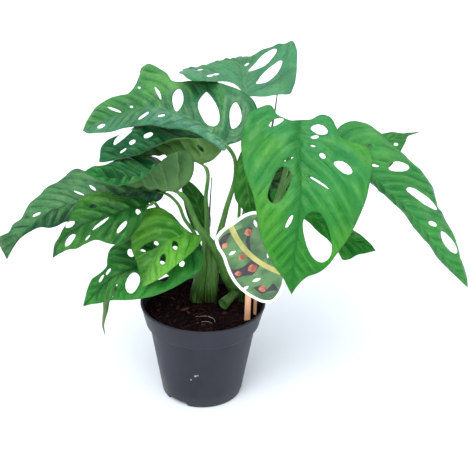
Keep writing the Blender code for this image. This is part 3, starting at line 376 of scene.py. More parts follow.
# Leaves. rib: from the stalk to the tip. face: the way the upper side looks, from base to tip.
# half_width, fold, curl and edge are given for the left half and then the right half, as seen on
# the upper side with the tip up. fold and curl are in degrees, from base to tip. An edge runs from
# base to tip in shares of the half width and of the rib. A slot is (side, share of the rib where
# its vein starts, share of the half width, half sizes of both, lean, and for some how much they
# narrow towards the margin). A stalk is its radii and its route: its foot (x, y) and the points it
# passes. With grip False it stops under the base.
LEAVES = [
    dict(
        name="leaf_front_right", colour="leaf", shoot="shoot_right",
        stalk=((3.2, 1.8), [(35, 19), (54, -5, 166), (69, -25, 231)]),
        rib=[(79, -42, 294), (79, -62, 270), (81, -76, 245), (80, -84, 218), (78, -88, 187),
             (78, -90, 156)],
        face=((0, -0.55, 0.83), (0, -0.97, 0.2)), half_width=(60, 48),
        fold=((8, 5), (12, 5)), curl=((-25, -20), (-35, -30)),
        edge=(
            [(.16, 0), (.31, -.03), (.42, -.02), (.52, .045), (.6, .1), (.78, .12), (.97, .15),
             (1.03, .22), (1.01, .31), (.94, .4), (.85, .5), (.78, .58), (.68, .66), (.6, .72),
             (.5, .8), (.38, .855), (.2, .89), (.09, .935)],
            [(.15, .01), (.27, -.005), (.37, -.02), (.49, -.075), (.72, -.06), (.86, -.04), (.95, .02),
             (1, .13), (.97, .23), (.86, .37), (.74, .52), (.6, .68), (.45, .77), (.33, .83),
             (.19, .885), (.09, .945)],
        ),
        slots=[
            (-1, .064, .28, .019, .12, .007), (-1, .094, .22, .008, .06, -.004),
            (-1, .14, .2, .005, .04, 0), (-1, .174, .325, .014, .045, 0), (-1, .193, .6, .022, .13, 0),
            (-1, .304, .24, .006, .15, .004), (-1, .563, .29, .122, .22, .005),
            (1, .043, .39, .013, .13, .014), (1, .208, .17, .005, .085, 0),
            (1, .312, .35, .086, .2, .017), (1, .538, .15, .025, .06, .016),
        ],
    ),
    dict(
        name="leaf_top", colour="leaf", shoot="shoot_right",
        stalk=((3.0, 1.7), [(34, 22), (39, 22, 167), (41, 34, 235)]),
        rib=[(36, 28, 293), (34, 58, 295), (32, 90, 297), (30, 118, 299), (28, 150, 299)],
        face=((0.25, -0.1, 1), (0, 0, 1), (-0.25, 0.25, 0.9)), half_width=(66, 58),
        fold=((12, 8, 8), (20, 25, 38)), curl=((-15, -15), (-10, -10)),
        edge=(
            [(.05, .06), (.15, .155), (.25, .2), (.37, .12), (.5, .02), (.66, -.06), (.82, -.08),
             (.91, -.01), (.94, .14), (.93, .3), (.91, .43), (.88, .56), (.84, .65), (.73, .68),
             (.58, .71), (.45, .82), (.32, .9), (.13, .93)],
            [(.1, -.03), (.28, -.045), (.46, -.02), (.63, -.02), (.75, .09), (.84, .25), (.92, .45),
             (.97, .58), (.95, .655), (.82, .66), (.72, .7), (.59, .7), (.43, .73), (.26, .73), (.11, .83)],
        ),
        slots=[
            (-1, .324, .62, .03, .05, -.03), (-1, .169, .5, .03, .06, -.05),
            (-1, .25, .4, .03, .05, -.03), (1, .449, .38, .066, .28, -.019),
            (1, .237, .43, .067, .25, .05), (1, .609, .1, .03, .05, -.02),
        ],
    ),
    dict(
        name="leaf_upper_left", colour="leaf", shoot="shoot_middle",
        stalk=((3.0, 4.0, 2.7, 2.0, 1.7), [(8, 14), (11, 16, 140), (20, 14, 187), (28, 13, 223)]),
        rib=[(20, -5, 257), (6, 2, 266), (-10, 14, 273), (-28, 23, 277), (-47, 31, 279), (-66, 38, 273),
             (-88, 46, 263), (-103, 51, 256), (-118, 56, 246)],
        grip=False,
        face=((-0.1, -0.3, 1), (-0.3, -0.3, 1)), half_width=(40, 62),
        fold=((-30, -30), (30, 25, 20)), curl=((-50, -30), (-10, -20)),
        edge=(
            [(.12, -.01), (.18, .06), (.22, .16), (.31, .28), (.42, .4), (.43, .53), (.39, .62),
             (.35, .72), (.33, .81), (.24, .9), (.14, .965)],
            [(.2, -.04), (.42, -.02), (.69, .01), (.76, .06), (.76, .12), (.72, .2), (.68, .27),
             (.56, .38), (.48, .46), (.6, .49), (.7, .52), (.82, .56), (.89, .6), (.87, .63),
             (.64, .635), (.47, .655), (.37, .68), (.38, .74), (.41, .81), (.36, .88), (.24, .94),
             (.1, .985)],
        ),
        slots=[
            (-1, .835, .12, .03, .05, -.009), (-1, .533, .18, .025, .07, .02),
            (-1, .411, .17, .014, .05, .01), (1, .439, .24, .008, .11, -.004),
            (1, .344, .2, .032, .18, -.015), (1, .178, .26, .055, .21, .022, .65),
            (1, .073, .4, .022, .17, .019), (1, .728, .14, .014, .1, .021), (1, .626, .08, .01, .03, 0),
            (1, .507, .42, .009, .03, 0),
        ],
    ),
    dict(
        name="leaf_mid_left", colour="dark", shoot="shoot_middle",
        stalk=((3.0, 3.8, 2.6, 1.9, 1.7), [(5, 14), (3, 14, 160), (1, 15, 196)]),
        rib=[(-2, 15, 232), (-19, 18, 236), (-41, 12, 240), (-67, 0, 243), (-92, -15, 242)],
        grip=False,
        face=((-0.2, 0.2, 0.9), (-0.2, -0.2, 1)), half_width=(42, 60),
        fold=((65, 60, 20, -10), (30, 40, 35)), curl=((20, -30), (-10, -20)),
        edge=(
            [(.1, -.06), (.3, -.115), (.46, -.14), (.6, -.08), (.66, 0), (.56, .13), (.48, .28),
             (.45, .44), (.42, .56), (.28, .69), (.15, .81), (.08, .92)],
            [(.25, -.07), (.55, -.07), (.8, .05), (.9, .22), (.88, .38), (.65, .52), (.45, .66),
             (.39, .76), (.33, .85), (.22, .93), (.08, .975)],
        ),
        slots=[
            (1, .545, .37, .037, .14, -.14), (1, .537, .24, .026, .05, -.039),
            (1, .344, .39, .029, .07, -.048), (1, .7, .1, .02, .04, -.05),
            (1, .31, .17, .013, .03, -.01), (-1, .06, .36, .014, .08, .015),
        ],
    ),
    dict(
        name="leaf_inner_left", colour="dark", shoot="shoot_right",
        stalk=((3.6, 5.8, 4.2, 2.8, 2.2), [(32, 22), (24, 15, 118), (9, 4, 153), (-4, 0, 173)]),
        rib=[(-24, -5, 213), (-39, -16, 219), (-63, -34, 229), (-82, -50, 241), (-97, -62, 250)],
        grip=False,
        face=((-0.2, 0.1, 1), (-0.2, -0.3, 1)), half_width=(42, 52),
        fold=((75, 70, 40, 0, -20), (40, 30, 20)), curl=((10, -30), (-10, -20)),
        edge=(
            [(.22, -.1), (.46, -.12), (.78, -.06), (.88, .06), (.82, .2), (.75, .33), (.66, .46),
             (.52, .6), (.38, .72), (.22, .85)],
            [(.25, -.08), (.6, -.06), (.9, .08), (.95, .25), (.76, .45), (.52, .6), (.35, .73),
             (.23, .86), (.14, .925)],
        ),
        slots=[],
    ),
    dict(
        name="leaf_far_left", colour="leaf", shoot="shoot_left",
        stalk=((2.5, 1.3), [(-4, 13), (-4, 8, 150), (-9, 5, 166), (-18, 1, 182), (-24, -3, 199)]),
        rib=[(-35, -6, 211), (-57, -10, 214), (-83, -18, 213), (-108, -26, 209), (-129, -34, 205),
             (-140, -37, 199), (-153, -40, 188), (-164, -42, 177), (-173, -44, 158)],
        grip=False,
        face=((-0.2, -0.2, 1), (-0.5, -0.4, 0.8)), half_width=(36, 48),
        fold=((-60, -60), (15, 15, 30)), curl=((-30, -30), (-20, -20)),
        edge=(
            [(.2, .02), (.3, .06), (.3, .12), (.35, .2), (.45, .3), (.5, .4), (.46, .5), (.42, .58),
             (.42, .645), (.36, .69), (.2, .73), (.1, .8), (.06, .9)],
            [(.3, -.04), (.6, 0), (.8, .12), (.85, .25), (.78, .38), (.97, .42), (.63, .546),
             (.52, .62), (.45, .645), (.4, .7), (.26, .79), (.28, .84), (.22, .87), (.32, .91),
             (.41, .94), (.28, .955)],
        ),
        slots=[
            (1, .338, .25, .009, .1, -.006), (1, .42, .19, .009, .09, .006), (1, .68, .09, .02, .04, .007),
        ],
    ),
    dict(
        name="leaf_lower_left", colour="young", shoot="shoot_left",
        stalk=((2.5, 1.3), [(-4, 11), (-4, 3, 150), (-19, -3, 165), (-34, -6, 181), (-41, -11, 198),
                            (-44, -20, 207)]),
        rib=[(-46, -34, 211), (-65, -54, 214), (-84, -68, 212), (-97, -76, 209), (-107, -82, 205),
             (-116, -86, 196), (-122, -88, 183)],
        grip=False,
        face=((-0.2, -0.6, 0.75), (-0.5, -0.6, 0.6)), half_width=(35, 38),
        fold=((-5, -5), (-15, -5, 5, 5, 5)), curl=((-20, -20), (-20, -20)),
        edge=(
            [(.1, .05), (.27, .12), (.45, .19), (.62, .26), (.76, .345), (.84, .45), (.7, .53),
             (.53, .59), (.5, .7), (.46, .79), (.31, .85), (.2, .91)],
            [(.2, -.03), (.5, 0), (.8, .12), (.9, .3), (.85, .45), (.61, .6), (.31, .69), (.17, .79),
             (.1, .83), (.09, .9)],
        ),
        slots=[
            (-1, .74, .17, .06, .09, -.008), (-1, .469, .15, .036, .1, .059),
            (-1, .29, .44, .032, .12, .027), (-1, .564, .38, .015, .05, .012),
            (-1, .155, .17, .022, .09, 0), (1, .391, .39, .033, .09, -.016), (1, .66, .18, .04, .08, -.023),
        ],
    ),
    dict(
        name="leaf_young", colour="young", shoot="shoot_left",
        stalk=((3.0, 3.4, 2.2, 1.3), [(-5, 12), (-1, 3, 140)]),
        rib=[(-3, -10, 172), (-18, -25, 178), (-31, -36, 175), (-41, -43, 163), (-52, -50, 137)],
        grip=False,
        face=((-0.2, -0.5, 0.85), (-0.5, -0.7, 0.5)), half_width=(22, 48),
        fold=((-5, -5), (-40, 25, 40, 30, 20)), curl=((-20, -20), (-10, -10)),
        edge=(
            [(.19, .01), (.54, .1), (.88, .27), (1, .5), (.86, .65), (.7, .77), (.38, .89)],
            [(.14, .115), (.24, .175), (.34, .22), (.46, .25), (.57, .29), (.65, .335), (.7, .39),
             (.74, .45), (.74, .5), (.68, .54), (.57, .63), (.45, .705), (.29, .775), (.17, .865)],
        ),
        slots=[
            (-1, .373, .3, .037, .2, -.008), (-1, .57, .3, .05, .16, -.007), (1, .515, .21, .058, .12, .01),
        ],
    ),
    dict(
        name="leaf_low_left", colour="leaf", shoot="shoot_left",
        stalk=((3.2, 3.4, 2.0, 1.5), [(-8, 12.5), (-5, 8, 135)]),
        rib=[(-13, -4, 157), (-35, -15, 150), (-62, -25, 144), (-82, -30, 135), (-109, -35, 107)],
        face=((-0.2, -0.5, 0.85), (-0.5, -0.6, 0.5)), half_width=(42, 38),
        fold=((-5, -5), (5, 5)), curl=((-20, -20), (-20, -20)),
        edge=(
            [(.1, -.055), (.23, -.07), (.43, -.036), (.61, .012), (.67, .09), (.71, .18), (.76, .3),
             (.77, .42), (.69, .56), (.54, .7), (.38, .79), (.27, .86), (.1, .94)],
            [(.25, .01), (.6, .03), (.85, .15), (.95, .35), (.9, .5), (.79, .6), (.57, .64), (.36, .67),
             (.32, .74), (.36, .81), (.27, .88), (.14, .94)],
        ),
        slots=[
            (-1, .455, .32, .061, .22, -.021), (-1, .224, .43, .03, .11, -.018),
            (-1, .111, .32, .018, .08, .001), (-1, .708, .25, .021, .07, .02),
            (-1, .62, .28, .016, .1, .02), (1, .375, .42, .023, .13, -.024),
            (1, .165, .48, .026, .11, -.006), (1, .3, .36, .018, .07, -.007),
            (1, .104, .13, .019, .07, -.004), (-1, .246, .12, .026, .07, -.008),
            (1, .696, .18, .03, .05, -.03), (1, .62, .2, .022, .06, -.03),
        ],
    ),
    dict(
        name="leaf_far_right", colour="leaf", shoot="shoot_right",
        stalk=((2.8, 1.6), [(37, 21), (57, 0, 174), (85, -5, 240)]),
        rib=[(113, -20, 268), (127, -28, 259), (147, -36, 242), (172, -42, 222), (198, -46, 193),
             (217, -48, 169), (237, -50, 146)],
        grip=False,
        face=((0.2, -0.4, 0.9), (0.5, -0.4, 0.8)), half_width=(55, 15),
        fold=((15, 5), (-85, -112, -112, -110)), curl=((-20, -20), (-20, -20)),
        edge=(
            [(.23, -.04), (.41, -.035), (.57, -.01), (.7, .035), (.76, .11), (.83, .2), (.89, .3),
             (.94, .39), (.96, .48), (.93, .55), (.8, .595), (.68, .63), (.71, .66), (.65, .7),
             (.65, .75), (.6, .81), (.42, .875), (.29, .925), (.16, .97)],
            [(.2, .03), (.6, .08), (.9, .18), (1, .32), (.97, .5), (.85, .65), (.65, .78), (.4, .88),
             (.15, .955)],
        ),
        slots=[
            (-1, .11, .37, .012, .07, .003), (-1, .244, .56, .029, .21, .003),
            (-1, .199, .19, .01, .06, .007), (-1, .429, .45, .056, .19, .045),
            (-1, .581, .26, .019, .08, 0), (-1, .697, .33, .07, .14, -.015),
        ],
    ),
    dict(
        name="leaf_back_right", colour="leaf", shoot="shoot_right",
        stalk=((2.5, 1.4), [(36, 23), (60, 22, 159), (98, 36, 215)]),
        rib=[(136, 40, 240), (165, 60, 241), (198, 80, 245), (207, 84, 245)],
        face=((0.2, -0.1, 1), (0.5, -0.2, 0.8)), half_width=(25, 34),
        fold=((5, 5), (5, 5)), curl=((-20, -20), (-20, -20)),
        edge=(
            [(.25, -.06), (.55, 0), (.68, .2), (.62, .4), (.4, .56), (.3, .66), (.12, .76), (.05, .87)],
            [(.3, -.06), (.75, .05), (.97, .22), (.75, .4), (.5, .57), (.3, .7), (.07, .83), (.04, .92)],
        ),
        slots=[(1, .502, .25, .03, .06, -.018)],
    ),
    dict(
        name="leaf_low_right", colour="dark", shoot="shoot_right",
        stalk=((2.5, 1.4), [(36, 19), (49, 12, 150), (56, 13, 180)]),
        rib=[(63, 11, 197), (85, 10, 191), (107, 5, 181), (136, 0, 166), (160, -5, 158)],
        grip=False,
        face=((0.2, -0.5, 0.9), (0.5, -0.4, 0.8)), half_width=(30, 30),
        fold=((5, 5), (5, 5)), curl=((-20, -20), (-20, -20)),
        edge=(
            [(.25, -.04), (.5, -.03), (.6, .08), (.65, .22), (.72, .36), (.75, .5), (.68, .63),
             (.5, .73), (.38, .855), (.18, .94)],
            [(.2, -.03), (.3, .04), (.28, .16), (.2, .28), (.24, .36), (.4, .45), (.48, .58),
             (.74, .71), (.87, .76), (.76, .805), (.51, .855), (.29, .92)],
        ),
        slots=[],
    ),
    dict(
        name="leaf_middle", colour="dark", shoot="shoot_right",
        stalk=((2.0, 1.2), [(33, 24), (32, 14, 167), (34, 17, 221)]),
        rib=[(37, 10, 250), (37, -2, 233), (40, -8, 211), (44, -10, 183)],
        face=((-0.1, -0.6, 0.7), (-0.1, -1, 0.2)), half_width=(14, 18),
        fold=((5, 5), (5, 5)), curl=((-20, -20), (-20, -20)),
        edge=(
            PLAIN_EDGE,
            [(.15, .02), (.4, .15), (.52, .34), (.68, .52), (.68, .63), (.55, .71), (.34, .79), (.15, .9)],
        ),
        slots=[],
    ),
    dict(
        name="leaf_back_middle", colour="dark", shoot="shoot_right",
        stalk=((2.0, 1.3), [(33, 25), (35, 36, 150), (39, 44, 185)]),
        rib=[(46, 46, 207), (66, 48, 202), (86, 50, 193), (102, 52, 182)],
        grip=False,
        face=((0.1, -0.8, 0.6), (0.2, -0.8, 0.6)), half_width=(24, 26),
        fold=((5, 5), (5, 5)), curl=((-20, -20), (-20, -20)),
        edge=(
            [(.2, -.08), (.55, -.09), (.85, .01), (1, .18), (.97, .4), (.8, .6), (.52, .77), (.25, .89),
             (.1, .955)],
            [(.15, -.03), (.4, .02), (.75, .12), (.98, .28), (.95, .45), (.78, .62), (.52, .77),
             (.25, .89), (.1, .955)],
        ),
        slots=[],
    ),
    dict(
        name="leaf_small", colour="dark", shoot="shoot_middle",
        stalk=((2.0, 2.4, 1.2), [(4.5, 16), (3, 18, 141)]),
        rib=[(-1, 22, 166), (-6, 24, 185), (-14, 26, 201), (-24, 30, 214)],
        grip=False,
        face=((0.1, -0.8, 0.5), (-0.1, -0.8, 0.5)), half_width=(13, 9),
        fold=((5, 5), (5, 5)), curl=((-20, -20), (-20, -20)),
        edge=(PLAIN_EDGE, PLAIN_EDGE),
        slots=[],
    ),
]


def spline(knots, values, at):
    """Smooth curve through values at the knots."""
    knots = np.asarray(knots, float)
    values = np.asarray(values, float)
    at = np.clip(np.asarray(at, float), knots[0], knots[-1])
    slope = np.gradient(values, knots, axis=0)
    index = np.clip(np.searchsorted(knots, at, side="right") - 1, 0, len(knots) - 2)
    gap = (knots[index + 1] - knots[index])[:, None]
    share = (at - knots[index])[:, None] / gap
    start = (2 * share**3 - 3 * share**2 + 1) * values[index]
    leave = (share**3 - 2 * share**2 + share) * gap * slope[index]
    end = (-2 * share**3 + 3 * share**2) * values[index + 1]
    arrive = (share**3 - share**2) * gap * slope[index + 1]
    return start + leave + end + arrive


def run_length(points):
    """Distance along a chain of points, for each of them."""
    return np.concatenate([[0], np.cumsum(np.linalg.norm(np.diff(points, axis=0), axis=1))])


def even_path(points, count):
    """Even steps along a smooth curve through points, and its length."""
    points = np.asarray(points, float)
    reach = run_length(points)
    fine = spline(reach, points, np.linspace(0, reach[-1], CURVE_SAMPLES))
    run = run_length(fine)
    at = np.linspace(0, run[-1], count)
    return np.stack([np.interp(at, run, fine[:, k]) for k in range(3)], -1), run[-1]


def stations(values, share):
    """Values given at even stations from base to tip, read at a share of the way."""
    values = np.asarray(values, float)
    knots = np.linspace(0, 1, len(values))
    if values.ndim == 1:
        return np.interp(share, knots, values)
    return np.stack([np.interp(share, knots, values[:, k]) for k in range(values.shape[1])], -1)


def inside(points, outline):
    """Which flat points lie in a closed outline."""
    x, y = points[:, 0], points[:, 1]
    hit = np.zeros(len(points), bool)
    for (x0, y0), (x1, y1) in zip(outline, np.roll(outline, -1, axis=0)):
        if y0 == y1:
            continue
        hit ^= ((y0 > y) != (y1 > y)) & (x < (x1 - x0) * (y - y0) / (y1 - y0) + x0)
    return hit


def distance_to(points, outline):
    """Distance from flat points to a closed outline."""
    start = outline
    step = np.roll(outline, -1, axis=0) - start
    away = points[:, None, :] - start[None]
    share = np.clip((away * step).sum(-1) / np.maximum((step * step).sum(-1), 1e-9), 0, 1)
    return np.linalg.norm(away - share[..., None] * step, axis=-1).min(axis=1)


class Blade:
    """One leaf blade: flat coordinates (across, along) in millimetres, and their place in space."""

    def __init__(self, leaf):
        self.leaf = leaf
        self.rib, self.length = even_path(leaf["rib"], RIB_SAMPLES)
        tangent = np.gradient(self.rib, axis=0)
        self.tangent = tangent / np.linalg.norm(tangent, axis=1)[:, None]
        units = [np.asarray(way, float) / np.linalg.norm(way) for way in leaf["face"]]
        face = stations(units, np.linspace(0, 1, RIB_SAMPLES))
        normal = face - (face * self.tangent).sum(1)[:, None] * self.tangent
        self.normal = normal / np.linalg.norm(normal, axis=1)[:, None]
        self.across = np.cross(self.tangent, self.normal)

    def width(self, side):
        return self.leaf["half_width"][0 if side < 0 else 1]

    def vein(self, side, start, share):
        """Flat point at a share of the half width, on the side vein that leaves the rib at start."""
        width = self.width(side)
        lean = np.interp(start, VEIN_STARTS, VEIN_LEANS)
        along = start * self.length + width * (lean * share + VEIN_BEND * share * share)
        return np.stack([side * share * width, along], -1)

    def edge(self, side, step):
        """Margin of one half, from the base to the tip, at about even steps."""
        shares = self.leaf["edge"][0 if side < 0 else 1]
        points = np.asarray([(0, 0)] + list(shares) + [(0, 1)], float)
        points *= (self.width(side), self.length)
        knots = run_length(points)
        count = int(knots[-1] / step) + 2
        out = spline(knots, points, np.linspace(0, knots[-1], count))
        out[1:-1, 0] = np.maximum(out[1:-1, 0], NARROWEST_TIP)
        out[[0, -1], 0] = 0
        out[:, 0] *= side
        return out

    def outline(self, step):
        """Closed margin: up the right half and down the left."""
        return np.concatenate([self.edge(1, step)[:-1], self.edge(-1, step)[:0:-1]])

    def slot(self, slot, count):
        """Closed outline of a slot, drawn in vein coordinates."""
        side, start, share, half_start, half_share, lean = slot[:6]
        taper = slot[6] if len(slot) > 6 else 0.0
        angle = np.linspace(0, 2 * np.pi, count, endpoint=False)
        swell = half_start * np.sin(angle) * (1 - 0.25 * np.cos(angle) ** 2) * (1 - taper * np.cos(angle))
        return self.vein(side, start + swell + lean * np.cos(angle), share + half_share * np.cos(angle))

    def place(self, flat):
        """Points in space of flat points: the halves fold at the rib and curl towards the margin."""
        across, along = flat[:, 0], flat[:, 1]
        share = np.clip(along / self.length, 0, 1)
        at = share * (RIB_SAMPLES - 1)
        index = np.arange(RIB_SAMPLES)

        def pick(rows):
            return np.stack([np.interp(at, index, rows[:, k]) for k in range(3)], -1)

        tangent = pick(self.tangent)
        origin = pick(self.rib) + np.minimum(along, 0)[:, None] * tangent
        right = across > 0
        fold = np.radians(self.halves("fold", share, right))
        width = np.where(right, self.width(1), self.width(-1))
        turn = np.radians(self.halves("curl", share, right)) / width
        reach = np.abs(across)
        sideways = np.sign(across) * (np.sin(fold + turn * reach) - np.sin(fold)) / turn
        upwards = (np.cos(fold) - np.cos(fold + turn * reach)) / turn
        return origin + sideways[:, None] * pick(self.across) + upwards[:, None] * pick(self.normal)

    def halves(self, key, share, right):
        left_values, right_values = self.leaf[key]
        return np.where(right, stations(right_values, share), stations(left_values, share))


def chain(first, count):
    """Edges of one closed outline."""
    return [(first + k, first + (k + 1) % count) for k in range(count)]


def loop_edges(loops):
    """Edges of closed outlines whose points follow each other in one list, and the number of points."""
    edges = []
    total = 0
    for loop in loops:
        edges += chain(total, len(loop))
        total += len(loop)
    return edges, total


def triangulate(points, edges):
    """Flat points and triangles that keep the given edges."""
    result = delaunay_2d_cdt([Vector(p) for p in points], edges, [], 0, 1e-4, False)
    return np.array([tuple(p) for p in result[0]]), np.array([tuple(f) for f in result[2]])


def smooth_step(low, high, value):
    share = np.clip((np.asarray(value, float) - low) / (high - low), 0, 1)
    return share * share * (3 - 2 * share)


def ring_faces(count, sides):
    """Faces of a closed body made of an end point, rings of points and another end point."""
    faces = []
    for ring in range(count - 1):
        low = 1 + ring * sides
        for k in range(sides):
            after = (k + 1) % sides
            faces.append((low + k, low + after, low + sides + after, low + sides + k))
    top = 1 + (count - 1) * sides
    last = top + sides
    for k in range(sides):
        after = (k + 1) % sides
        faces.append((0, 1 + after, 1 + k))
        faces.append((last, top + k, top + after))
    return faces


def both_sides(faces, count, front_kinds, back_kinds):
    """Faces of a sheet's front, back and edge, and each one's material."""
    edges = {}
    for a, b, c in faces:
        edges[(a, b)] = edges[(b, c)] = edges[(c, a)] = True
    rim = []
    for a, b in edges:
        if (b, a) not in edges:
            rim.append((a, a + count, b + count))
            rim.append((a, b + count, b))
    all_faces = np.concatenate([faces, faces[:, ::-1] + count, np.array(rim)])
    return all_faces, np.concatenate([front_kinds, back_kinds, np.zeros(len(rim))])


def join(parts):
    """One list of points, faces and shares from several, and the number of the part each face is from."""
    points = []
    faces = []
    shares = []
    number = []
    total = 0
    for index, (corners, own, share) in enumerate(parts):
        points.append(corners)
        faces += [tuple(int(i) + total for i in face) for face in own]
        shares.append(share)
        number += [index] * len(own)
        total += len(corners)
    return np.concatenate(points), faces, np.concatenate(shares), number


def make_piece(name, points, faces, materials, of_face=None):
    """Smooth-shaded mesh that rides on the body, from points in millimetres."""
    mesh = bpy.data.meshes.new(name)
    mesh.from_pydata((np.asarray(points) * MM).tolist(), [], [[int(i) for i in face] for face in faces])
    for material in materials:
        mesh.materials.append(material)
    if of_face is not None:
        mesh.polygons.foreach_set("material_index", np.asarray(of_face, np.int32))
    mesh.shade_smooth()
    piece = bpy.data.objects.new(name, mesh)
    bpy.context.scene.collection.objects.link(piece)
    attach(piece, "root")
    return piece


def sharpen(piece, degrees):
    """Edges that turn by more than an angle look sharp."""
    piece.data.set_sharp_from_angle(angle=math.radians(degrees))


def add_values(piece, **values):
    """Number at every point, for the materials to read."""
    for name, numbers in values.items():
        layer = piece.data.attributes.new(name, "FLOAT", "POINT")
        layer.data.foreach_set("value", np.asarray(numbers, np.float32))


# Materials


def linear(red, green, blue):
    """Colour as Cycles wants it, from 0 to 255 as a screen shows it."""
    return tuple(((c / 255 + 0.055) / 1.055) ** 2.4 for c in (red, green, blue)) + (1.0,)


class Graph:
    """Node tree of one material, with short ways to add its nodes."""

    def __init__(self, name, roughness, **constants):
        self.material = bpy.data.materials.new(name)
        self.material.use_nodes = True
        self.tree = self.material.node_tree
        self.shader = self.tree.nodes["Principled BSDF"]
        self.shader.inputs["Roughness"].default_value = roughness
        for socket, value in constants.items():
            self.shader.inputs[socket.replace("_", " ")].default_value = value

    def add(self, kind, settings=None, **inputs):
        node = self.tree.nodes.new("ShaderNode" + kind)
        for key, value in (settings or {}).items():
            setattr(node, key, value)
        for key, value in inputs.items():
            self.feed(node.inputs[key.replace("_", " ")], value)
        return node

    def feed(self, socket, value):
        if isinstance(value, bpy.types.NodeSocket):
            self.tree.links.new(value, socket)
        else:
            socket.default_value = value

    def maths(self, operation, first, second=0.0):
        node = self.tree.nodes.new("ShaderNodeMath")
        node.operation = operation
        self.feed(node.inputs[0], first)
        self.feed(node.inputs[1], second)
        return node.outputs[0]

    def times(self, first, second):
        return self.maths("MULTIPLY", first, second)

    def plus(self, first, *others):
        for other in others:
            first = self.maths("ADD", first, other)
        return first

    def value(self, name):
        return self.add("Attribute", {"attribute_name": name}).outputs["Fac"]

    def beside_vein(self):
        """Distance from the nearest side vein, in millimetres."""
        return self.maths("PINGPONG", self.value("vein"), VEIN_PITCH / 2)

    def ramp(self, value, low, high, start=0.0, end=1.0):
        """Smooth change from start to end as value goes from low to high."""
        node = self.add("MapRange", {"interpolation_type": "SMOOTHSTEP"}, Value=value)
        node.inputs["From Min"].default_value = low
        node.inputs["From Max"].default_value = high
        node.inputs["To Min"].default_value = start
        node.inputs["To Max"].default_value = end
        return node.outputs["Result"]

    def mix(self, share, first, second):
        """Colour between two colours."""
        node = self.add("Mix", {"data_type": "RGBA"})
        self.feed(node.inputs["Factor"], share)
        self.feed(node.inputs[6], first)
        self.feed(node.inputs[7], second)
        return node.outputs[2]

    def place(self, stretch=(1.0, 1.0, 1.0)):
        """Object coordinates, stretched."""
        where = self.add("TexCoord").outputs["Object"]
        return self.add("Mapping", Vector=where, Scale=stretch).outputs["Vector"]

    def noise(self, where, scale, detail=3.0, roughness=0.5):
        node = self.add("TexNoise", Vector=where, Scale=scale, Detail=detail, Roughness=roughness)
        return node.outputs["Fac"]

    def bump(self, height, distance, strength=1.0):
        node = self.add("Bump", Height=height, Distance=distance, Strength=strength)
        self.tree.links.new(node.outputs["Normal"], self.shader.inputs["Normal"])

    def colour(self, socket):
        self.tree.links.new(socket, self.shader.inputs["Base Color"])

    def rough(self, socket):
        self.tree.links.new(socket, self.shader.inputs["Roughness"])


def base_tone(graph, name, where, tones):
    """Colour from base to tip, painted light on one half of some blades and painted shade on one half of
    leaf_young, and broad darker clouds.
    """
    base, tip, groove = tones
    shade = graph.mix(graph.ramp(graph.value("along"), 0.15, 0.9), base, tip)
    # Painted light on one half: lighter where it is lit, darker on leaf_young's shaded half
    if name in LIT_AND_SHADED_HALVES:
        side, colour = LIT_AND_SHADED_HALVES[name]
        share = graph.ramp(graph.value("across"), -3.0 * side, 3.0 * side)
        shade = graph.mix(graph.times(share, 0.8), shade, linear(*colour))
    return graph.mix(graph.ramp(graph.noise(where, 24.0), 0.35, 0.72, 0.0, 0.6), shade, groove)


def add_patches(graph, name, where, shade, blotch, paler):
    """Small pale patches, and on some blades warm ones away from the rib."""
    shade = graph.mix(graph.ramp(blotch, 0.5, 0.72, 0.0, 0.4), shade, paler)
    if name in WARM:
        patch = graph.ramp(graph.noise(where, 15.0, 2.0), 0.42, 0.62)
        outer = graph.ramp(graph.value("rib"), 4.0, 22.0)
        shade = graph.mix(graph.times(graph.times(patch, outer), 0.6), shade, linear(*WARM[name]))
    return shade


def add_streaks(graph, shade, groove, paler):
    """Fine wrinkles along the side veins, with painted shade in their hollows and painted highlight on their
    ridges: the colour, and their pattern.
    """
    across = graph.times(graph.value("vein"), STREAK_ACROSS)
    along = graph.times(graph.value("across"), STREAK_ALONG)
    lie = graph.add("CombineXYZ", X=across, Y=along).outputs["Vector"]
    streak = graph.noise(lie, 1.0, 3.0, 0.6)
    # Painted shade where the wrinkles sink, and painted highlight where they rise
    shade = graph.mix(graph.ramp(streak, 0.52, 0.72, 0.0, 0.45), shade, groove)
    return graph.mix(graph.ramp(streak, 0.3, 0.46, 0.35, 0.0), shade, paler), streak


def add_side_veins(graph, name, where, shade, groove, paler):
    """Painted highlight on the panels' crowns and painted shade in the grooves between them: the colour, and
    the grooves' lines.
    """
    inner = graph.ramp(graph.value("margin"), 0.5, 7.0)
    beside = graph.beside_vein()
    # Painted highlight: paler in the middle of each panel, where the blade swells up
    crown_highlight = graph.times(graph.ramp(beside, 0.25 * VEIN_PITCH, 0.5 * VEIN_PITCH), inner)
    shade = graph.mix(graph.times(crown_highlight, 0.22), shade, paler)
    # Painted shade: darker near the side veins, in the grooves
    soft = graph.times(graph.ramp(beside, 0.0, 0.27 * VEIN_PITCH, 1.0, 0.0), inner)
    soft = graph.times(soft, graph.ramp(graph.noise(where, 34.0), 0.35, 0.62, 0.15, 1.0))
    shade = graph.mix(graph.times(soft, VEIN_SHADE.get(name, USUAL_VEIN_SHADE)), shade, groove)
    # Painted shade along the groove lines too, which also sink in the bump
    line = graph.times(graph.ramp(beside, 0.1, 0.8, 1.0, 0.0), inner)
    return graph.mix(graph.times(line, 0.22), shade, groove), line


def add_net(graph, shade, groove):
    """Net of fine veins: the colour, and the net's lines."""
    flat = graph.add("UVMap", {"uv_map": "blade"}).outputs["UV"]
    cells = graph.add("TexVoronoi", {"feature": "DISTANCE_TO_EDGE", "voronoi_dimensions": "2D"},
                      Vector=flat, Scale=22.0)
    net = graph.ramp(cells.outputs["Distance"], 0.0, 0.2, 1.0, 0.0)
    return graph.mix(graph.times(net, 0.16), shade, groove), net


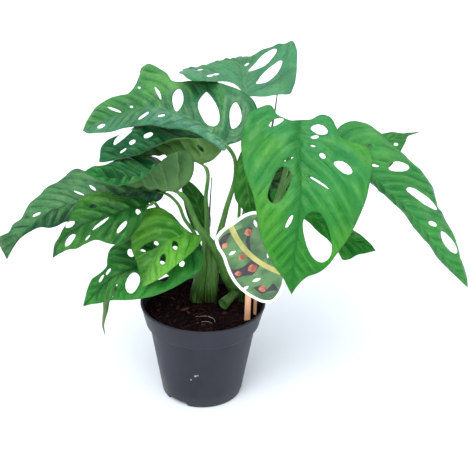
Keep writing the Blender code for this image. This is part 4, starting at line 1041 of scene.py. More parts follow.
def add_rib(graph, name, where, shade, base, groove):
    """Pale line of the rib, or on some blades painted shade: a dark line in a broad trough."""
    if name not in SHADED_RIBS:
        line = graph.ramp(graph.value("rib"), 0.4, 1.1, 1.0, 0.0)
        return graph.mix(graph.times(line, 0.25), shade, graph.mix(0.4, base, linear(*RIB_TONE)))
    # Painted shade along the rib's groove and in the trough beside it
    line = graph.ramp(graph.value("rib"), 0.4, 2.4, 1.0, 0.0)
    shade = graph.mix(graph.times(line, 0.6), shade, groove)
    trough = graph.ramp(graph.value("rib"), 0.0, 10.0, 1.0, 0.0)
    trough = graph.times(trough, graph.ramp(graph.noise(where, 30.0), 0.35, 0.6, 0.2, 1.0))
    return graph.mix(graph.times(trough, 0.45), shade, groove)


def leaf_upper(leaf, tones):
    """Upper side of a blade, with an olive margin, and painted shade and highlights that follow its relief.
    """
    name = leaf["name"]
    base, tip, groove = tones
    shine = GLOSSY.get(name, SHINE[leaf["colour"]])
    graph = Graph(name + "_upper", 0.42, Specular_IOR_Level=shine, **LEAF_GLOW)
    where = graph.place()
    blotch = graph.noise(where, 75.0, 4.0, 0.6)
    fine = graph.noise(where, 260.0, 4.0)
    paler = graph.mix(0.5, tip, linear(*PATCH_AND_HIGHLIGHT_TONE))
    shade = base_tone(graph, name, where, tones)
    shade = add_patches(graph, name, where, shade, blotch, paler)
    shade, streak = add_streaks(graph, shade, groove, paler)
    shade, line = add_side_veins(graph, name, where, shade, groove, paler)
    shade, net = add_net(graph, shade, groove)
    shade = add_rib(graph, name, where, shade, base, groove)
    edge = graph.ramp(graph.value("margin"), 0.2, 0.7, 0.55, 0.0)
    graph.colour(graph.mix(edge, shade, linear(*MARGIN_TONE)))
    graph.rough(graph.ramp(fine, 0.3, 0.75, 0.34, 0.46))
    height = graph.plus(graph.times(line, -0.7), graph.times(net, -0.15), graph.times(blotch, 1.2),
                        graph.times(streak, -2.0), graph.times(fine, 0.3))
    graph.bump(height, 0.0006, 0.7)
    return graph.material


def leaf_under(name, colour, vein):
    """Underside: matt and paler, with raised veins."""
    graph = Graph(name, 0.58, Specular_IOR_Level=0.25, **LEAF_GLOW)
    where = graph.place()
    broad = graph.noise(where, 35.0)
    fine = graph.noise(where, 220.0, 4.0)
    side_veins = graph.ramp(graph.beside_vein(), 0.2, 1.0, 1.0, 0.0)
    rib = graph.ramp(graph.value("rib"), 0.6, 1.4, 1.0, 0.0)
    lines = graph.maths("MAXIMUM", side_veins, rib)
    shade = graph.mix(graph.ramp(broad, 0.3, 0.7, 0.0, 0.3), colour, vein)
    graph.colour(graph.mix(graph.times(lines, 0.5), shade, vein))
    graph.bump(graph.plus(lines, graph.times(fine, 0.3)), 0.0005, 0.6)
    return graph.material


def leaf_materials(leaf):
    *upper, under = (linear(*tone) for tone in TONES[leaf["name"]])
    return [leaf_upper(leaf, upper), leaf_under(leaf["name"] + "_under", under, linear(*UNDER_VEIN))]


def stem_material(name):
    """Stalks: streaked green, darkened with painted shade near the soil, under the leaves."""
    dark, light, foot = (linear(*tone) for tone in STEM_TONES[name])
    graph = Graph(name, 0.42, Specular_IOR_Level=0.3, Subsurface_Weight=0.06,
                  Subsurface_Radius=(0.5, 1.0, 0.2), Subsurface_Scale=0.003)
    streak = graph.noise(graph.place((1.0, 1.0, 0.08)), 900.0, 4.0)
    broad = graph.noise(graph.place((1.0, 1.0, 0.5)), 70.0)
    shade = graph.mix(graph.ramp(broad, 0.3, 0.7), dark, light)
    height = graph.value("height")
    # Painted shade: darker green low on the stalks, and the foot tone near the soil, where the leaves shade
    # them
    shade = graph.mix(graph.ramp(height, 94.0, 126.0, 0.78, 0.0), shade, linear(20, 56, 4))
    shade = graph.mix(graph.ramp(height, 90.0, 108.0, 0.85, 0.0), shade, foot)
    graph.colour(graph.mix(graph.ramp(streak, 0.45, 0.7, 0.0, 0.4), shade, linear(108, 150, 74)))
    graph.bump(streak, 0.0004, 0.6)
    return graph.material


def tail_material():
    """Rolled young leaf whose end turns brown."""
    graph = Graph("rolled_leaf", 0.45)
    broad = graph.noise(graph.place(), 60.0)
    shade = graph.mix(graph.ramp(broad, 0.3, 0.7), linear(58, 100, 36), linear(84, 124, 48))
    dry = graph.ramp(graph.value("along"), 0.82, 1.0)
    graph.colour(graph.mix(dry, shade, linear(112, 110, 84)))
    graph.bump(graph.noise(graph.place((1.0, 1.0, 0.15)), 700.0), 0.0003, 0.5)
    return graph.material


def add_scuff(graph, shade, where, speckle, place, size):
    """Pale ragged spot."""
    away = graph.add("VectorMath", {"operation": "DISTANCE"})
    graph.feed(away.inputs[0], where)
    away.inputs[1].default_value = [c * MM for c in place]
    ragged = graph.plus(away.outputs["Value"], graph.times(speckle, size * MM))
    mark = graph.ramp(ragged, 0.75 * size * MM, 1.15 * size * MM, 0.8, 0.0)
    return graph.mix(mark, shade, linear(176, 180, 186))


def pot_material():
    """Slate plastic: faint mould rings, dull handling marks, and a few pale scuffs in front."""
    graph = Graph("pot_plastic", 0.42, Specular_IOR_Level=0.25)
    where = graph.place()
    speckle = graph.noise(where, 900.0, 4.0)
    smear = graph.noise(graph.place((1.0, 1.0, 0.5)), 38.0, 5.0, 0.6)
    shade = graph.mix(graph.ramp(smear, 0.35, 0.75), linear(30, 31, 40), linear(41, 43, 53))
    scratch = graph.noise(graph.place((1.0, 1.0, 14.0)), 60.0, 6.0, 0.7)
    shade = graph.mix(graph.ramp(scratch, 0.62, 0.8, 0.0, 0.2), shade, linear(96, 100, 110))
    low = graph.add("SeparateXYZ", Vector=where).outputs["Z"]
    shade = graph.mix(graph.ramp(low, 0.0, 0.018, 0.25, 0.0), shade, linear(84, 82, 82))
    for place, size in SCUFFS:
        shade = add_scuff(graph, shade, where, speckle, place, size)
    graph.colour(shade)
    graph.rough(graph.ramp(smear, 0.3, 0.75, 0.38, 0.54))
    graph.bump(graph.plus(speckle, graph.times(scratch, 0.4)), 0.00008, 0.6)
    return graph.material


def soil_material():
    """Dark crumbly soil with browner specks."""
    graph = Graph("soil_crumb", 0.95, Specular_IOR_Level=0.03)
    where = graph.place()
    broad = graph.noise(where, 90.0, 5.0, 0.65)
    fine = graph.noise(where, 700.0, 5.0, 0.7)
    shade = graph.mix(graph.ramp(broad, 0.35, 0.7), linear(9, 4, 7), linear(27, 14, 16))
    graph.colour(graph.mix(graph.ramp(fine, 0.6, 0.85, 0.0, 0.4), shade, linear(50, 30, 28)))
    graph.bump(graph.plus(broad, fine), 0.0015, 0.9)
    return graph.material


def bark_material(name, dark, light):
    """Crumbs, chips and fibres in the soil."""
    graph = Graph(name, 0.9, Specular_IOR_Level=0.05)
    grain = graph.noise(graph.place(), 400.0, 5.0, 0.7)
    graph.colour(graph.mix(graph.ramp(grain, 0.3, 0.7), linear(*dark), linear(*light)))
    graph.bump(grain, 0.0008, 0.8)
    return graph.material


def wood_material():
    """Pale wood with its grain along the stick."""
    graph = Graph("stick_wood", 0.6)
    grain = graph.noise(graph.place((1.0, 1.0, 0.05)), 1300.0, 5.0, 0.6)
    broad = graph.noise(graph.place((1.0, 1.0, 0.2)), 120.0)
    shade = graph.mix(graph.ramp(broad, 0.3, 0.7), linear(206, 152, 116), linear(226, 178, 142))
    graph.colour(graph.mix(graph.ramp(grain, 0.5, 0.75, 0.0, 0.5), shade, linear(160, 104, 74)))
    graph.bump(grain, 0.0002, 0.6)
    return graph.material


def card_material(name, dark, light, grain):
    """Printed area of the label: two close tones under a gloss."""
    graph = Graph(name, 0.3, Coat_Weight=0.4, Coat_Roughness=0.15)
    tone = graph.noise(graph.place(), grain, 3.0)
    graph.colour(graph.mix(graph.ramp(tone, 0.35, 0.65), linear(*dark), linear(*light)))
    graph.bump(graph.noise(graph.place(), 500.0), 0.00004, 0.4)
    return graph.material


def floor_material():
    """White ground, clouded a little."""
    graph = Graph("floor", 0.85)
    tone = graph.noise(graph.place(), 1.5, 3.0)
    graph.colour(graph.mix(graph.ramp(tone, 0.3, 0.7), linear(236, 240, 248), linear(242, 245, 251)))
    return graph.material


# Blades


def side_vein(blade, flat):
    """Where on the rib, in millimetres, the side vein of each flat point starts."""
    side = np.where(flat[:, 0] < 0, -1, 1)
    width = np.where(side < 0, blade.width(-1), blade.width(1))
    share = np.abs(flat[:, 0]) / width
    low = np.full(len(flat), VEIN_STARTS[0] - 1.0)
    high = np.full(len(flat), VEIN_STARTS[-1] + 1.0)
    for _ in range(VEIN_SEARCHES):
        middle = (low + high) / 2
        lean = np.interp(middle, VEIN_STARTS, VEIN_LEANS) + LOOK_LEAN
        along = middle * blade.length + width * (lean * share + LOOK_BEND * share * share)
        short = along < flat[:, 1]
        low = np.where(short, middle, low)
        high = np.where(short, high, middle)
    start = (low + high) / 2 * blade.length + np.where(side > 0, VEIN_PITCH / 2, 0)
    slow = np.sin(start / SLOW_WANDER + blade.length)
    quick = np.sin(start / QUICK_WANDER + np.abs(flat[:, 0]) / QUICK_WANDER_ACROSS + side)
    return start + VEIN_WANDER * (slow + QUICK_WANDER_SHARE * quick)


def slot_loops(blade):
    """Outlines of a blade's slots, at about even steps."""
    loops = []
    for slot in blade.leaf["slots"]:
        size = max(slot[4] * blade.width(slot[0]), slot[3] * blade.length)
        loops.append(blade.slot(slot, max(9, int(5 * size / SLOT_STEP / 2))))
    return loops


def clearance(points, loops):
    """Distance from each flat point to the nearest of several closed outlines."""
    return np.min([distance_to(points, loop) for loop in loops], axis=0)


def fine_points(loops):
    """Evenly staggered points inside the margin, clear of it, of the slots and of the rib."""
    low = loops[0].min(axis=0)
    high = loops[0].max(axis=0)
    rows = np.arange(low[1], high[1], GRID_STEP * GRID_ROW)
    found = []
    for number, along in enumerate(rows):
        shift = GRID_STEP / 2 * (number % 2)
        across = np.arange(low[0] + shift, high[0], GRID_STEP)
        found.append(np.stack([across, np.full_like(across, along)], -1))
    found = np.concatenate(found)
    beside_rib = np.abs(np.abs(found[:, 0]) - RIB_SIDE / 2) > RIB_SIDE / 2 + GRID_CLEARANCE / 2
    found = found[inside(found, loops[0]) & beside_rib]
    return found[clearance(found, loops) > GRID_CLEARANCE]


def fine_mesh(blade):
    """Flat points and triangles of a blade at a fine step, and each point's distance from an edge."""
    outline = blade.outline(EDGE_STEP)
    loops = [outline] + slot_loops(blade)
    edges, total = loop_edges(loops)
    at = np.linspace(0, blade.length, int(blade.length / RIB_STEP) + 1)[1:-1]
    tip = len(blade.edge(1, EDGE_STEP)) - 1
    line = [0] + list(range(total, total + len(at))) + [tip]
    edges += list(zip(line[:-1], line[1:]))
    points = loops + [np.stack([np.zeros_like(at), at], -1)]
    for side in (-RIB_SIDE, RIB_SIDE):
        beside = np.stack([np.full_like(at, side), at], -1)
        beside = beside[inside(beside, outline)]
        points.append(beside[clearance(beside, loops) > RIB_CLEARANCE])
    points.append(fine_points(loops))
    flat, faces = triangulate(np.concatenate(points), edges)
    middle = flat[faces].mean(axis=1)
    keep = inside(middle, outline)
    for loop in loops[1:]:
        keep &= ~inside(middle, loop)
    return flat, faces[keep], clearance(flat, loops)


def point_normals(points, faces):
    corner = points[faces]
    area = np.cross(corner[:, 1] - corner[:, 0], corner[:, 2] - corner[:, 0])
    normals = np.zeros_like(points)
    for k in range(3):
        np.add.at(normals, faces[:, k], area)
    return normals / np.maximum(np.linalg.norm(normals, axis=1), 1e-9)[:, None]


def relief(blade, flat, vein, margin, seed):
    """Height over the plain blade: panels swell between the side veins, and the rib lies in a groove."""
    across, along = flat[:, 0], flat[:, 1]
    deep = DEEP.get(blade.leaf["name"], 1.0)
    swell = 0.5 - 0.5 * np.cos(2 * np.pi * vein / VEIN_PITCH)
    clear = smooth_step(*QUILT_FROM_MARGIN, margin) * smooth_step(*QUILT_FROM_RIB, np.abs(across))
    height = QUILT * deep * np.sqrt(swell) * clear
    panels = [Vector((v / PANEL_ACROSS, a / PANEL_ALONG, seed * 3.7)) for v, a in zip(vein, across)]
    lumps = np.array([noise.noise(place) for place in panels])
    height += PANEL_LUMP * deep * lumps * smooth_step(*LUMP_FROM_MARGIN, margin)
    height -= RIB_GROOVE * np.exp(-(across / RIB_GROOVE_WIDTH) ** 2) * (1 - along / blade.length)
    for number, (wave, size) in enumerate(WAVES):
        turn = seed * 1.7 + number * 2.1
        crossways = np.sin(across / wave * FULL_TURN + turn)
        height += size * crossways * np.sin(along / wave * FULL_TURN + 2 * turn)
    return height


def under_ridges(blade, flat, vein, margin):
    """How far the rib and the side veins stand out from the underside."""
    towards_base = np.clip(1 - flat[:, 1] / blade.length, 0, 1) ** RIB_RIDGE_TAPER
    beside = np.abs((vein + VEIN_PITCH / 2) % VEIN_PITCH - VEIN_PITCH / 2)
    ridge = RIB_RIDGE * np.exp(-(flat[:, 0] / RIB_RIDGE_WIDTH) ** 2) * towards_base
    side_ridges = VEIN_RIDGE * np.exp(-(beside / VEIN_RIDGE_WIDTH) ** 2)
    return ridge + side_ridges * smooth_step(*RIDGE_FROM_MARGIN, margin)


def add_flat_map(piece, flat):
    """Flat coordinates of both sides of a blade, for the net of veins."""
    layer = piece.data.uv_layers.new(name="blade")
    corner = np.zeros(len(piece.data.loops), np.int32)
    piece.data.loops.foreach_get("vertex_index", corner)
    layer.data.foreach_set("uv", (np.tile(flat, (2, 1))[corner] / 100.0).astype(np.float32).ravel())


def build_leaf(leaf, seed):
    """Blade on its fine mesh, thickened towards both sides and thinner at the margin."""
    blade = Blade(leaf)
    flat, faces, margin = fine_mesh(blade)
    vein = side_vein(blade, flat)
    plain = blade.place(flat)
    normal = point_normals(plain, faces)
    middle = plain + normal * relief(blade, flat, vein, margin, seed)[:, None]
    thin = smooth_step(0.0, THIN_EDGE, margin) * 0.5 + 0.5
    ridge = under_ridges(blade, flat, vein, margin)
    upper = middle + normal * (UPPER_THICKNESS * thin)[:, None]
    under = middle - normal * (UNDER_THICKNESS * thin + ridge)[:, None]
    all_faces, kind = both_sides(faces, len(flat), np.zeros(len(faces)), np.ones(len(faces)))
    piece = make_piece(leaf["name"] + "_blade", np.concatenate([upper, under]), all_faces,
                       leaf_materials(leaf), kind)
    across, along = flat[:, 0], flat[:, 1] / blade.length
    values = {"vein": vein, "margin": margin, "across": across, "rib": np.abs(across), "along": along}
    add_values(piece, **{name: np.tile(numbers, 2) for name, numbers in values.items()})
    add_flat_map(piece, flat)
    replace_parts(piece, leaf["name"])


# Shoots


def tube(points, radii, sides=STALK_SIDES, step=STALK_STEP, ends=(0.0, 0.0)):
    """Points, faces and shares of the length of a tube along a curve.

    radii are given at even stations, or by a function of the share and the length. ends say how far
    both ends bulge, in shares of their radius.
    """
    length = run_length(np.asarray(points, float))[-1]
    count = max(6, int(length / step) + 2)
    line, _ = even_path(points, count)
    share = np.linspace(0, 1, count)
    radius = radii(share, length) if callable(radii) else stations(radii, share)
    tangent = np.gradient(line, axis=0)
    tangent /= np.linalg.norm(tangent, axis=1)[:, None]
    side = np.cross(tangent[0], (0.0, 1.0, 0.0))
    angle = 2 * np.pi * np.arange(sides) / sides
    rings = [line[:1] - tangent[:1] * ends[0] * radius[0]]
    for k in range(count):
        side = side - side.dot(tangent[k]) * tangent[k]
        side /= np.linalg.norm(side)
        other = np.cross(tangent[k], side)
        rings.append(line[k] + radius[k] * (np.cos(angle)[:, None] * side + np.sin(angle)[:, None] * other))
    rings.append(line[-1:] + tangent[-1:] * ends[1] * radius[-1])
    shares = np.concatenate([[0], np.repeat(share, sides), [1]])
    return np.concatenate(rings), ring_faces(count, sides), shares


def stalk_radius(radii):
    """Tapering radius that swells at the sheath near the soil and at the joint under the blade."""
    def radius(share, length):
        at = share * length
        sheath = SHEATH_SWELL * (1 - smooth_step(0.0, SHEATH_SHARE, share))
        joint = JOINT_SWELL * smooth_step(length - JOINT_LENGTH, length - JOINT_LENGTH * 0.5, at)
        end = 1 - END_TAPER * smooth_step(length - END_LENGTH, length, at)
        return stations(radii, share) * (1 + sheath + joint) * end
    return radius


def stub_radius(radii):
    """Radius of the cut stub, which splays at its cut end."""
    def radius(share, length):
        return stations(radii, share) * (1 + STUB_SPLAY * smooth_step(STUB_SPLAY_START, 1.0, share))
    return radius


def route(points):
    """Way of a stalk, straight up through the soil and then along its points."""
    return [(*points[0], STALK_FOOT), (*points[0], STALK_NECK)] + list(points[1:])


def blade_end(leaf, radius):
    """Where a stalk ends under its blade."""
    blade = Blade(leaf)
    tuck = TUCKED.get(leaf["name"], 0)
    places = []
    for number, (station, share, more) in enumerate(GRIP_ENDS if leaf.get("grip", True) else BASE_ENDS):
        drop = share * radius + more
        if number == 0:
            drop += TUCK_DROP * tuck
        at = station + tuck
        places.append(tuple(blade.rib[at] - blade.normal[at] * drop))
    return places


def bare_stalk(kind, radii, points):
    """Stalk without a blade: a rolled leaf, a spear, or a cut stub."""
    if kind == "stub":
        return tube(route(points), stub_radius(radii), ends=STUB_ENDS)
    return tube(route(points), radii, ends=POINTED_ENDS)


def build_stock(middle, radius):
    """Short lobed stock from which the stalks of a shoot rise."""
    points = [(*middle, STOCK_BOTTOM)]
    for height, share in STOCK_PROFILE:
        for k in range(STOCK_SIDES):
            angle = 2 * math.pi * k / STOCK_SIDES
            lobe = STOCK_LOBE_DEPTH * (1 + math.cos(STOCK_LOBES * angle + middle[0]))
            reach = share * radius * (1 - lobe)
            points.append((middle[0] + reach * math.cos(angle), middle[1] + reach * math.sin(angle), height))
    points.append((*middle, STOCK_TOP))
    return np.array(points, float), ring_faces(len(STOCK_PROFILE), STOCK_SIDES), np.zeros(len(points))


def build_shoot(name, shoot, materials):
    """Stock of a shoot with its leaf stalks and the stalks that carry no blade."""
    parts = [build_stock(shoot["middle"], shoot["radius"])]
    kinds = ["stem"]
    for leaf in LEAVES:
        if leaf["shoot"] == name:
            radii, points = leaf["stalk"]
            way = route(points) + blade_end(leaf, radii[-1])
            parts.append(tube(way, stalk_radius(radii), ends=STALK_ENDS))
            kinds.append("stem")
    for kind, (radii, points) in zip(BARE_STALKS[name], shoot["rolled"]):
        parts.append(bare_stalk(kind, radii, points))
        kinds.append(kind)
    points, faces, shares, number = join(parts)
    of_face = [STALK_KINDS.index(kinds[k]) for k in number]
    piece = make_piece(name + "_stalks", points, faces, materials, of_face)
    add_values(piece, along=shares, height=points[:, 2])
    sharpen(piece, 50)
    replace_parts(piece, name)


# Pot


def revolved(profile, sides):
    """Points and faces of a solid turned from a closed profile that starts and ends on the axis."""
    angle = 2 * np.pi * np.arange(sides) / sides
    points = [np.array([(0.0, 0.0, profile[0][1])])]
    for radius, height in profile[1:-1]:
        points.append(np.stack([radius * np.cos(angle), radius * np.sin(angle), np.full(sides, height)], -1))
    points.append(np.array([(0.0, 0.0, profile[-1][1])]))
    return np.concatenate(points), ring_faces(len(profile) - 2, sides)


def rounded(corners, radius, steps=4):
    """Profile whose given corners (radius, height) are rounded, apart from its two ends."""
    out = [corners[0]]
    for before, corner, after in zip(corners[:-2], corners[1:-1], corners[2:]):
        before, corner, after = (np.asarray(p, float) for p in (before, corner, after))
        start = before - corner
        end = after - corner
        round_off = SHARPER.get(tuple(corner), radius)
        reach = min(round_off, np.linalg.norm(start) * 0.45, np.linalg.norm(end) * 0.45)
        start = corner + start / np.linalg.norm(start) * reach
        end = corner + end / np.linalg.norm(end) * reach
        for k in range(steps + 1):
            t = k / steps
            out.append(tuple((1 - t) ** 2 * start + 2 * t * (1 - t) * corner + t * t * end))
    out.append(corners[-1])
    return out


def build_pot(material):
    """Shell with its collar, rim and drain notches."""
    rim_foot = POT_HEIGHT - POT_RIM_DEPTH
    corners = [
        (0, HOLLOW_HEIGHT), (HOLLOW_RADIUS, HOLLOW_HEIGHT), (HOLLOW_RADIUS + 2.0, 0.2),
        (POT_BASE_RADIUS, 0.0), (POT_STEP_RADIUS, POT_STEP_HEIGHT),
        (COLLAR_FOOT_RADIUS, COLLAR_FOOT_HEIGHT), (POT_RIM_RADIUS - 0.5, POT_HEIGHT - 2.2),
        (POT_RIM_RADIUS, rim_foot), (POT_RIM_RADIUS, POT_HEIGHT),
        (POT_RIM_RADIUS - POT_RIM_WIDTH, POT_HEIGHT),
        (COLLAR_FOOT_RADIUS - POT_WALL, COLLAR_FOOT_HEIGHT + POT_WALL),
        (POT_STEP_RADIUS - POT_WALL, POT_STEP_HEIGHT + POT_WALL),
        (POT_BASE_RADIUS - POT_WALL, POT_FLOOR), (0, POT_FLOOR),
    ]
    points, faces = revolved(rounded(corners, POT_ROUNDING), POT_SIDES)
    pot = make_piece("pot_shell", points, faces, [material])
    for angle in NOTCH_ANGLES:
        cut_notch(pot, math.radians(angle))
    sharpen(pot, 40)
    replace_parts(pot, "pot")


def notch_block(angle):
    """Points and faces of the block that a drain notch is cut with."""
    half = NOTCH_WIDTH / 2
    shoulder = NOTCH_HEIGHT * 0.4
    outline = ((-half, -1), (-half, shoulder), (-half + NOTCH_CORNER, NOTCH_HEIGHT),
               (half - NOTCH_CORNER, NOTCH_HEIGHT), (half, shoulder), (half, -1))
    points = []
    for depth in (-NOTCH_DEPTH / 2, NOTCH_DEPTH / 2):
        reach = POT_BASE_RADIUS + depth
        for across, height in outline:
            points.append((reach * math.cos(angle) - across * math.sin(angle),
                           reach * math.sin(angle) + across * math.cos(angle), height))
    count = len(outline)
    faces = [tuple(range(count))[::-1], tuple(range(count, 2 * count))]
    for k in range(count):
        after = (k + 1) % count
        faces.append((k, after, after + count, k + count))
    return points, faces


def cut_notch(pot, angle):
    """Drain notch in the pot's foot."""
    points, faces = notch_block(angle)
    mesh = bpy.data.meshes.new("notch")
    mesh.from_pydata((np.asarray(points) * MM).tolist(), [], faces)
    solid = bmesh.new()
    solid.from_mesh(mesh)
    bmesh.ops.recalc_face_normals(solid, faces=solid.faces)
    solid.to_mesh(mesh)
    solid.free()
    cutter = bpy.data.objects.new("notch", mesh)
    bpy.context.scene.collection.objects.link(cutter)
    boolean = pot.modifiers.new("notch", "BOOLEAN")
    boolean.operation = "DIFFERENCE"
    boolean.solver = "EXACT"
    boolean.object = cutter
    apply_modifiers(pot)
    bpy.data.objects.remove(cutter)


def apply_modifiers(piece):
    bpy.context.view_layer.update()
    made = bpy.data.meshes.new_from_object(piece.evaluated_get(bpy.context.evaluated_depsgraph_get()))
    piece.modifiers.clear()
    piece.data = made


# Soil


def soil_height(x, y):
    """Top of the soil at a place: a low mound with lumps."""
    reach = math.hypot(x, y) / SOIL_RADIUS
    plain = float(np.interp(reach, [s for s, _ in SOIL_TOP], [h for _, h in SOIL_TOP]))
    lumps = 0.0
    for size, share, layer in SOIL_LUMPS:
        lumps += share * noise.noise(Vector((x / size, y / size, layer)))
    return plain + SOIL_LUMP * lumps - SOIL_DROP


def build_soil(material):
    """Lumpy top on a plain foot. Each ring's points lie between those of the next."""
    points = [(0.0, 0.0, soil_height(0, 0))]
    for ring in range(1, SOIL_RINGS + 1):
        reach = SOIL_RADIUS * ring / SOIL_RINGS
        for k in range(SOIL_SIDES):
            angle = 2 * math.pi * (k + 0.5 * (ring % 2)) / SOIL_SIDES
            x, y = reach * math.cos(angle), reach * math.sin(angle)
            points.append((x, y, soil_height(x, y)))
    for k in range(SOIL_SIDES):
        angle = 2 * math.pi * (k + 0.5 * (SOIL_RINGS % 2)) / SOIL_SIDES
        points.append((SOIL_FOOT_RADIUS * math.cos(angle), SOIL_FOOT_RADIUS * math.sin(angle), SOIL_FOOT))
    points.append((0.0, 0.0, SOIL_FOOT))
    faces = []
    for k in range(SOIL_SIDES):
        after = (k + 1) % SOIL_SIDES
        faces.append((0, 1 + k, 1 + after))
        for ring in range(SOIL_RINGS):
            low = 1 + ring * SOIL_SIDES
            high = low + SOIL_SIDES
            faces.append((low + k, high + k, high + after, low + after))
        low = 1 + SOIL_RINGS * SOIL_SIDES
        faces.append((low + after, low + k, len(points) - 1))
    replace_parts(make_piece("soil_top", points, faces, [material]), "soil")


def clear_of_shoots(x, y, gap):
    """Whether a place is further than a gap from every root stock."""
    for shoot in SHOOTS.values():
        if math.hypot(x - shoot["middle"][0], y - shoot["middle"][1]) < shoot["radius"] + gap:
            return False
    return True


def any_place(rng, share):
    """Place drawn evenly over a share of the soil's radius."""
    reach = SOIL_RADIUS * math.sqrt(rng.random()) * share
    angle = rng.uniform(0, 2 * math.pi)
    return reach * math.cos(angle), reach * math.sin(angle)


def lump(rng, place, turn, stretch):
    """Uneven stone: two rings of corners between two ends."""
    rows = [(0, 0, 1)]
    for height, width, shift in ((0.5, 0.86, 0.0), (-0.5, 0.86, 0.5)):
        for k in range(CRUMB_SIDES):
            angle = 2 * math.pi / CRUMB_SIDES * (k + shift)
            rows.append((width * math.cos(angle), width * math.sin(angle), height))
    rows.append((0, 0, -1))
    points = []
    for row in rows:
        uneven = rng.uniform(0.75, 1.15)
        points.append(turn @ Vector([c * s * uneven for c, s in zip(row, stretch)]) + Vector(place))
    faces = []
    low = 1 + CRUMB_SIDES
    last = low + CRUMB_SIDES
    for k in range(CRUMB_SIDES):
        after = (k + 1) % CRUMB_SIDES
        faces.append((0, 1 + k, 1 + after))
        faces.append((1 + k, low + k, 1 + after))
        faces.append((1 + after, low + k, low + after))
        faces.append((last, low + after, low + k))
    return np.array([tuple(p) for p in points]), faces, np.zeros(len(points))


def crumb(rng, place, size):
    """Small broken lump, turned any way."""
    turn = Euler([rng.uniform(0, FULL_TURN) for _ in range(3)]).to_matrix()
    return lump(rng, place, turn, [size * rng.uniform(0.45, 1.0) for _ in range(3)])


def chip(rng, place, size, turn):
    """Flat splinter of bark."""
    lie = Euler((rng.uniform(-0.3, 0.3), rng.uniform(-0.3, 0.3), turn)).to_matrix()
    return lump(rng, place, lie, (size, size * CHIP_WIDTH, size * CHIP_THICKNESS))


def build_crumbs(materials):
    """Loose lumps at random on the soil, and chips of bark at set places."""
    rng = random.Random(CRUMB_SEED)
    parts = []
    kinds = []
    while len(parts) < CRUMBS:
        x, y = any_place(rng, CRUMB_SPREAD)
        size = rng.choice(CRUMB_SIZES)
        if math.hypot(x, y) + size > SOIL_RADIUS or not clear_of_shoots(x, y, size * 0.6):
            continue
        parts.append(crumb(rng, (x, y, soil_height(x, y) + size * 0.25), size))
        kinds.append(rng.choice(LOOSE_KINDS))
    for (x, y), size, turn in BARK_CHIPS:
        parts.append(chip(rng, (x, y, soil_height(x, y) + size * 0.12), size, turn))
        kinds.append(PLACED_KIND)
    points, faces, _, number = join(parts)
    piece = make_piece("soil_crumbs", points, faces, materials, [kinds[k] for k in number])
    sharpen(piece, 35)


def fibre(rng, x, y, length, radius, lift):
    """Way of a thin root fibre that lies on the soil in a loose curve."""
    heading = rng.uniform(0, FULL_TURN)
    points = []
    for k in range(FIBRE_STEPS + 1):
        points.append((x, y, soil_height(x, y) + radius + lift * math.sin(math.pi * k / FIBRE_STEPS)))
        heading += rng.uniform(-FIBRE_BEND, FIBRE_BEND)
        x += length / FIBRE_STEPS * math.cos(heading)
        y += length / FIBRE_STEPS * math.sin(heading)
        if math.hypot(x, y) > SOIL_RADIUS - FIBRE_EDGE_GAP or not clear_of_shoots(x, y, 1.0):
            break
    return points


def build_fibres(materials):
    """Root fibres at random on the soil, and pale roots at set places."""
    rng = random.Random(FIBRE_SEED)
    parts = []
    kinds = []
    while len(parts) < FIBRES:
        x, y = any_place(rng, FIBRE_SPREAD)
        radius = rng.choice(FIBRE_RADII)
        points = fibre(rng, x, y, rng.uniform(*FIBRE_LENGTHS), radius, rng.uniform(0.0, FIBRE_LIFT))
        if len(points) < 4:
            continue
        parts.append(tube(points, radius * FIBRE_TAPER, sides=6, step=1.6))
        kinds.append(rng.choice(LOOSE_KINDS))
    for radius, way in PALE_ROOTS:
        points = [(x, y, soil_height(x, y) + lift) for x, y, lift in way]
        parts.append(tube(points, radius * ROOT_TAPER, sides=8, step=1.0))
        kinds.append(PLACED_KIND)
    points, faces, _, number = join(parts)
    make_piece("soil_fibres", points, faces, materials, [kinds[k] for k in number])


# Label


def inset(outline, distance):
    """Outline moved inwards."""
    step = np.roll(outline, -1, axis=0) - np.roll(outline, 1, axis=0)
    inwards = np.stack([-step[:, 1], step[:, 0]], -1)
    return outline + inwards / np.linalg.norm(inwards, axis=1)[:, None] * distance


def closed_curve(points, count):
    """Smooth closed outline through points."""
    closed = np.asarray(list(points) + [points[0]], float)
    knots = run_length(closed)
    return spline(knots, closed, np.linspace(0, knots[-1], count + 1))[:-1]


def lens(middle, length, width, turn, count=20):
    """Simple pointed oval."""
    share = np.linspace(-1, 1, count // 2 + 1)
    top = np.stack([share * length / 2, width / 2 * (1 - share**2)], -1)
    shape = np.concatenate([top[:-1], (top * (1, -1))[::-1][:-1]])
    turn = math.radians(turn)
    spin = np.array([[math.cos(turn), math.sin(turn)], [-math.sin(turn), math.cos(turn)]])
    return shape @ spin + middle


def ribbon(points, width, count=24):
    """Outline of a band of even width along a curve."""
    line, _ = even_path([(x, z, 0) for x, z in points], count)
    line = line[:, :2]
    step = np.gradient(line, axis=0)
    across = np.stack([-step[:, 1], step[:, 0]], -1) / np.linalg.norm(step, axis=1)[:, None] * width / 2
    return np.concatenate([line + across, (line - across)[::-1]])


def label_mesh():
    """Flat points, triangles, the card of each triangle, and each point's distance to the edge."""
    outline = closed_curve(LABEL_OUTLINE, LABEL_POINTS)
    field = inset(outline, LABEL_BORDER)
    shapes = [(1, field)]
    for card, middle, length, width, turn in LABEL_SHAPES:
        shapes.append((card, lens(np.array(middle), length, width, turn)))
    shapes.append((LABEL_BAND_CARD, ribbon(LABEL_BAND, LABEL_BAND_WIDTH)))
    loops = [outline] + [shape for _, shape in shapes]
    flat, faces = triangulate(np.concatenate(loops), loop_edges(loops)[0])
    faces = faces[inside(flat[faces].mean(axis=1), outline)]
    middle = flat[faces].mean(axis=1)
    cards = np.zeros(len(faces), int)
    within = inside(middle, field)
    for card, shape in shapes:
        cards[inside(middle, shape) & within] = card
    return flat, faces, cards, distance_to(flat, outline)


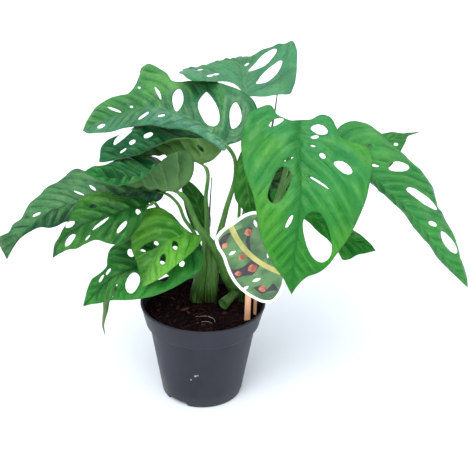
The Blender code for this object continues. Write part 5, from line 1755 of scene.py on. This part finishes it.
def build_label(materials):
    """Printed card: white border, green field, a pale band and plain leaf and berry shapes."""
    flat, faces, cards, margin = label_mesh()
    half = LABEL_THICKNESS / 2 - LABEL_ROUNDING * (1 - smooth_step(0.0, 0.5, margin))
    front = np.stack([flat[:, 0], LABEL_Y - half, flat[:, 1]], -1)
    back = np.stack([flat[:, 0], LABEL_Y + half, flat[:, 1]], -1)
    all_faces, of_face = both_sides(faces, len(flat), cards, np.zeros(len(faces)))
    piece = make_piece("label_card", np.concatenate([front, back]), all_faces, materials, of_face)
    sharpen(piece, 40)
    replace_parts(piece, "label")


# Stage


def build_floor():
    """Ground under the pot."""
    mesh = bpy.data.meshes.new("floor")
    mesh.from_pydata(FLOOR, [], [(0, 1, 2, 3)])
    mesh.materials.append(floor_material())
    floor = bpy.data.objects.new("floor", mesh)
    bpy.context.scene.collection.objects.link(floor)


def add_light(name, way, angle, strength, colour):
    """Even light that comes from one way."""
    lamp = bpy.data.lights.new(name, "SUN")
    lamp.angle = math.radians(angle)
    lamp.energy = strength
    lamp.color = colour
    thing = bpy.data.objects.new(name, lamp)
    thing.location = way
    thing.rotation_euler = (-Vector(way)).to_track_quat("-Z", "Y").to_euler()
    bpy.context.scene.collection.objects.link(thing)


def build_stage():
    """Floor, even sky and soft lights."""
    build_floor()
    world = bpy.data.worlds.new("studio")
    world.use_nodes = True
    sky = world.node_tree.nodes["Background"]
    sky.inputs["Color"].default_value = SKY_COLOUR
    sky.inputs["Strength"].default_value = SKY_STRENGTH
    bpy.context.scene.world = world
    for light in LIGHTS:
        add_light(*light)
    bpy.context.scene.view_settings.view_transform = "Standard"
    bpy.context.scene.view_settings.look = "None"


def build_camera():
    """Camera that sees the plant as the photograph does."""
    lens_data = bpy.data.cameras.new("camera")
    lens_data.lens = CAMERA_LENS
    lens_data.sensor_width = CAMERA_SENSOR
    lens_data.clip_start = 0.01
    camera = bpy.data.objects.new("camera", lens_data)
    pitch = Matrix.Rotation(math.radians(CAMERA_PITCH), 4, "X")
    roll = Matrix.Rotation(math.radians(CAMERA_ROLL), 4, "Z")
    camera.matrix_world = Matrix.Translation(CAMERA_PLACE) @ (pitch @ roll)
    bpy.context.scene.collection.objects.link(camera)
    bpy.context.scene.camera = camera


def build_plant():
    """Stalks and blades."""
    stalk_materials = [tail_material() if kind == "tail" else stem_material(kind) for kind in STALK_KINDS]
    for name, shoot in SHOOTS.items():
        build_shoot(name, shoot, stalk_materials)
    for seed, leaf in enumerate(LEAVES):
        build_leaf(leaf, seed)


def dress_sticks(nodes):
    """Wood on the two sticks, which keep their solids."""
    wood = wood_material()
    for name in ("stick_front", "stick_back"):
        nodes[name].data.materials.clear()
        nodes[name].data.materials.append(wood)


build_camera()
build_stage()
build_pot(pot_material())
build_soil(soil_material())
build_crumbs([bark_material(name, *tones) for name, tones in CRUMB_TONES.items()])
build_fibres([bark_material(name, *tones) for name, tones in FIBRE_TONES.items()])
build_plant()
build_label([card_material(*card) for card in CARDS])
dress_sticks(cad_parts)
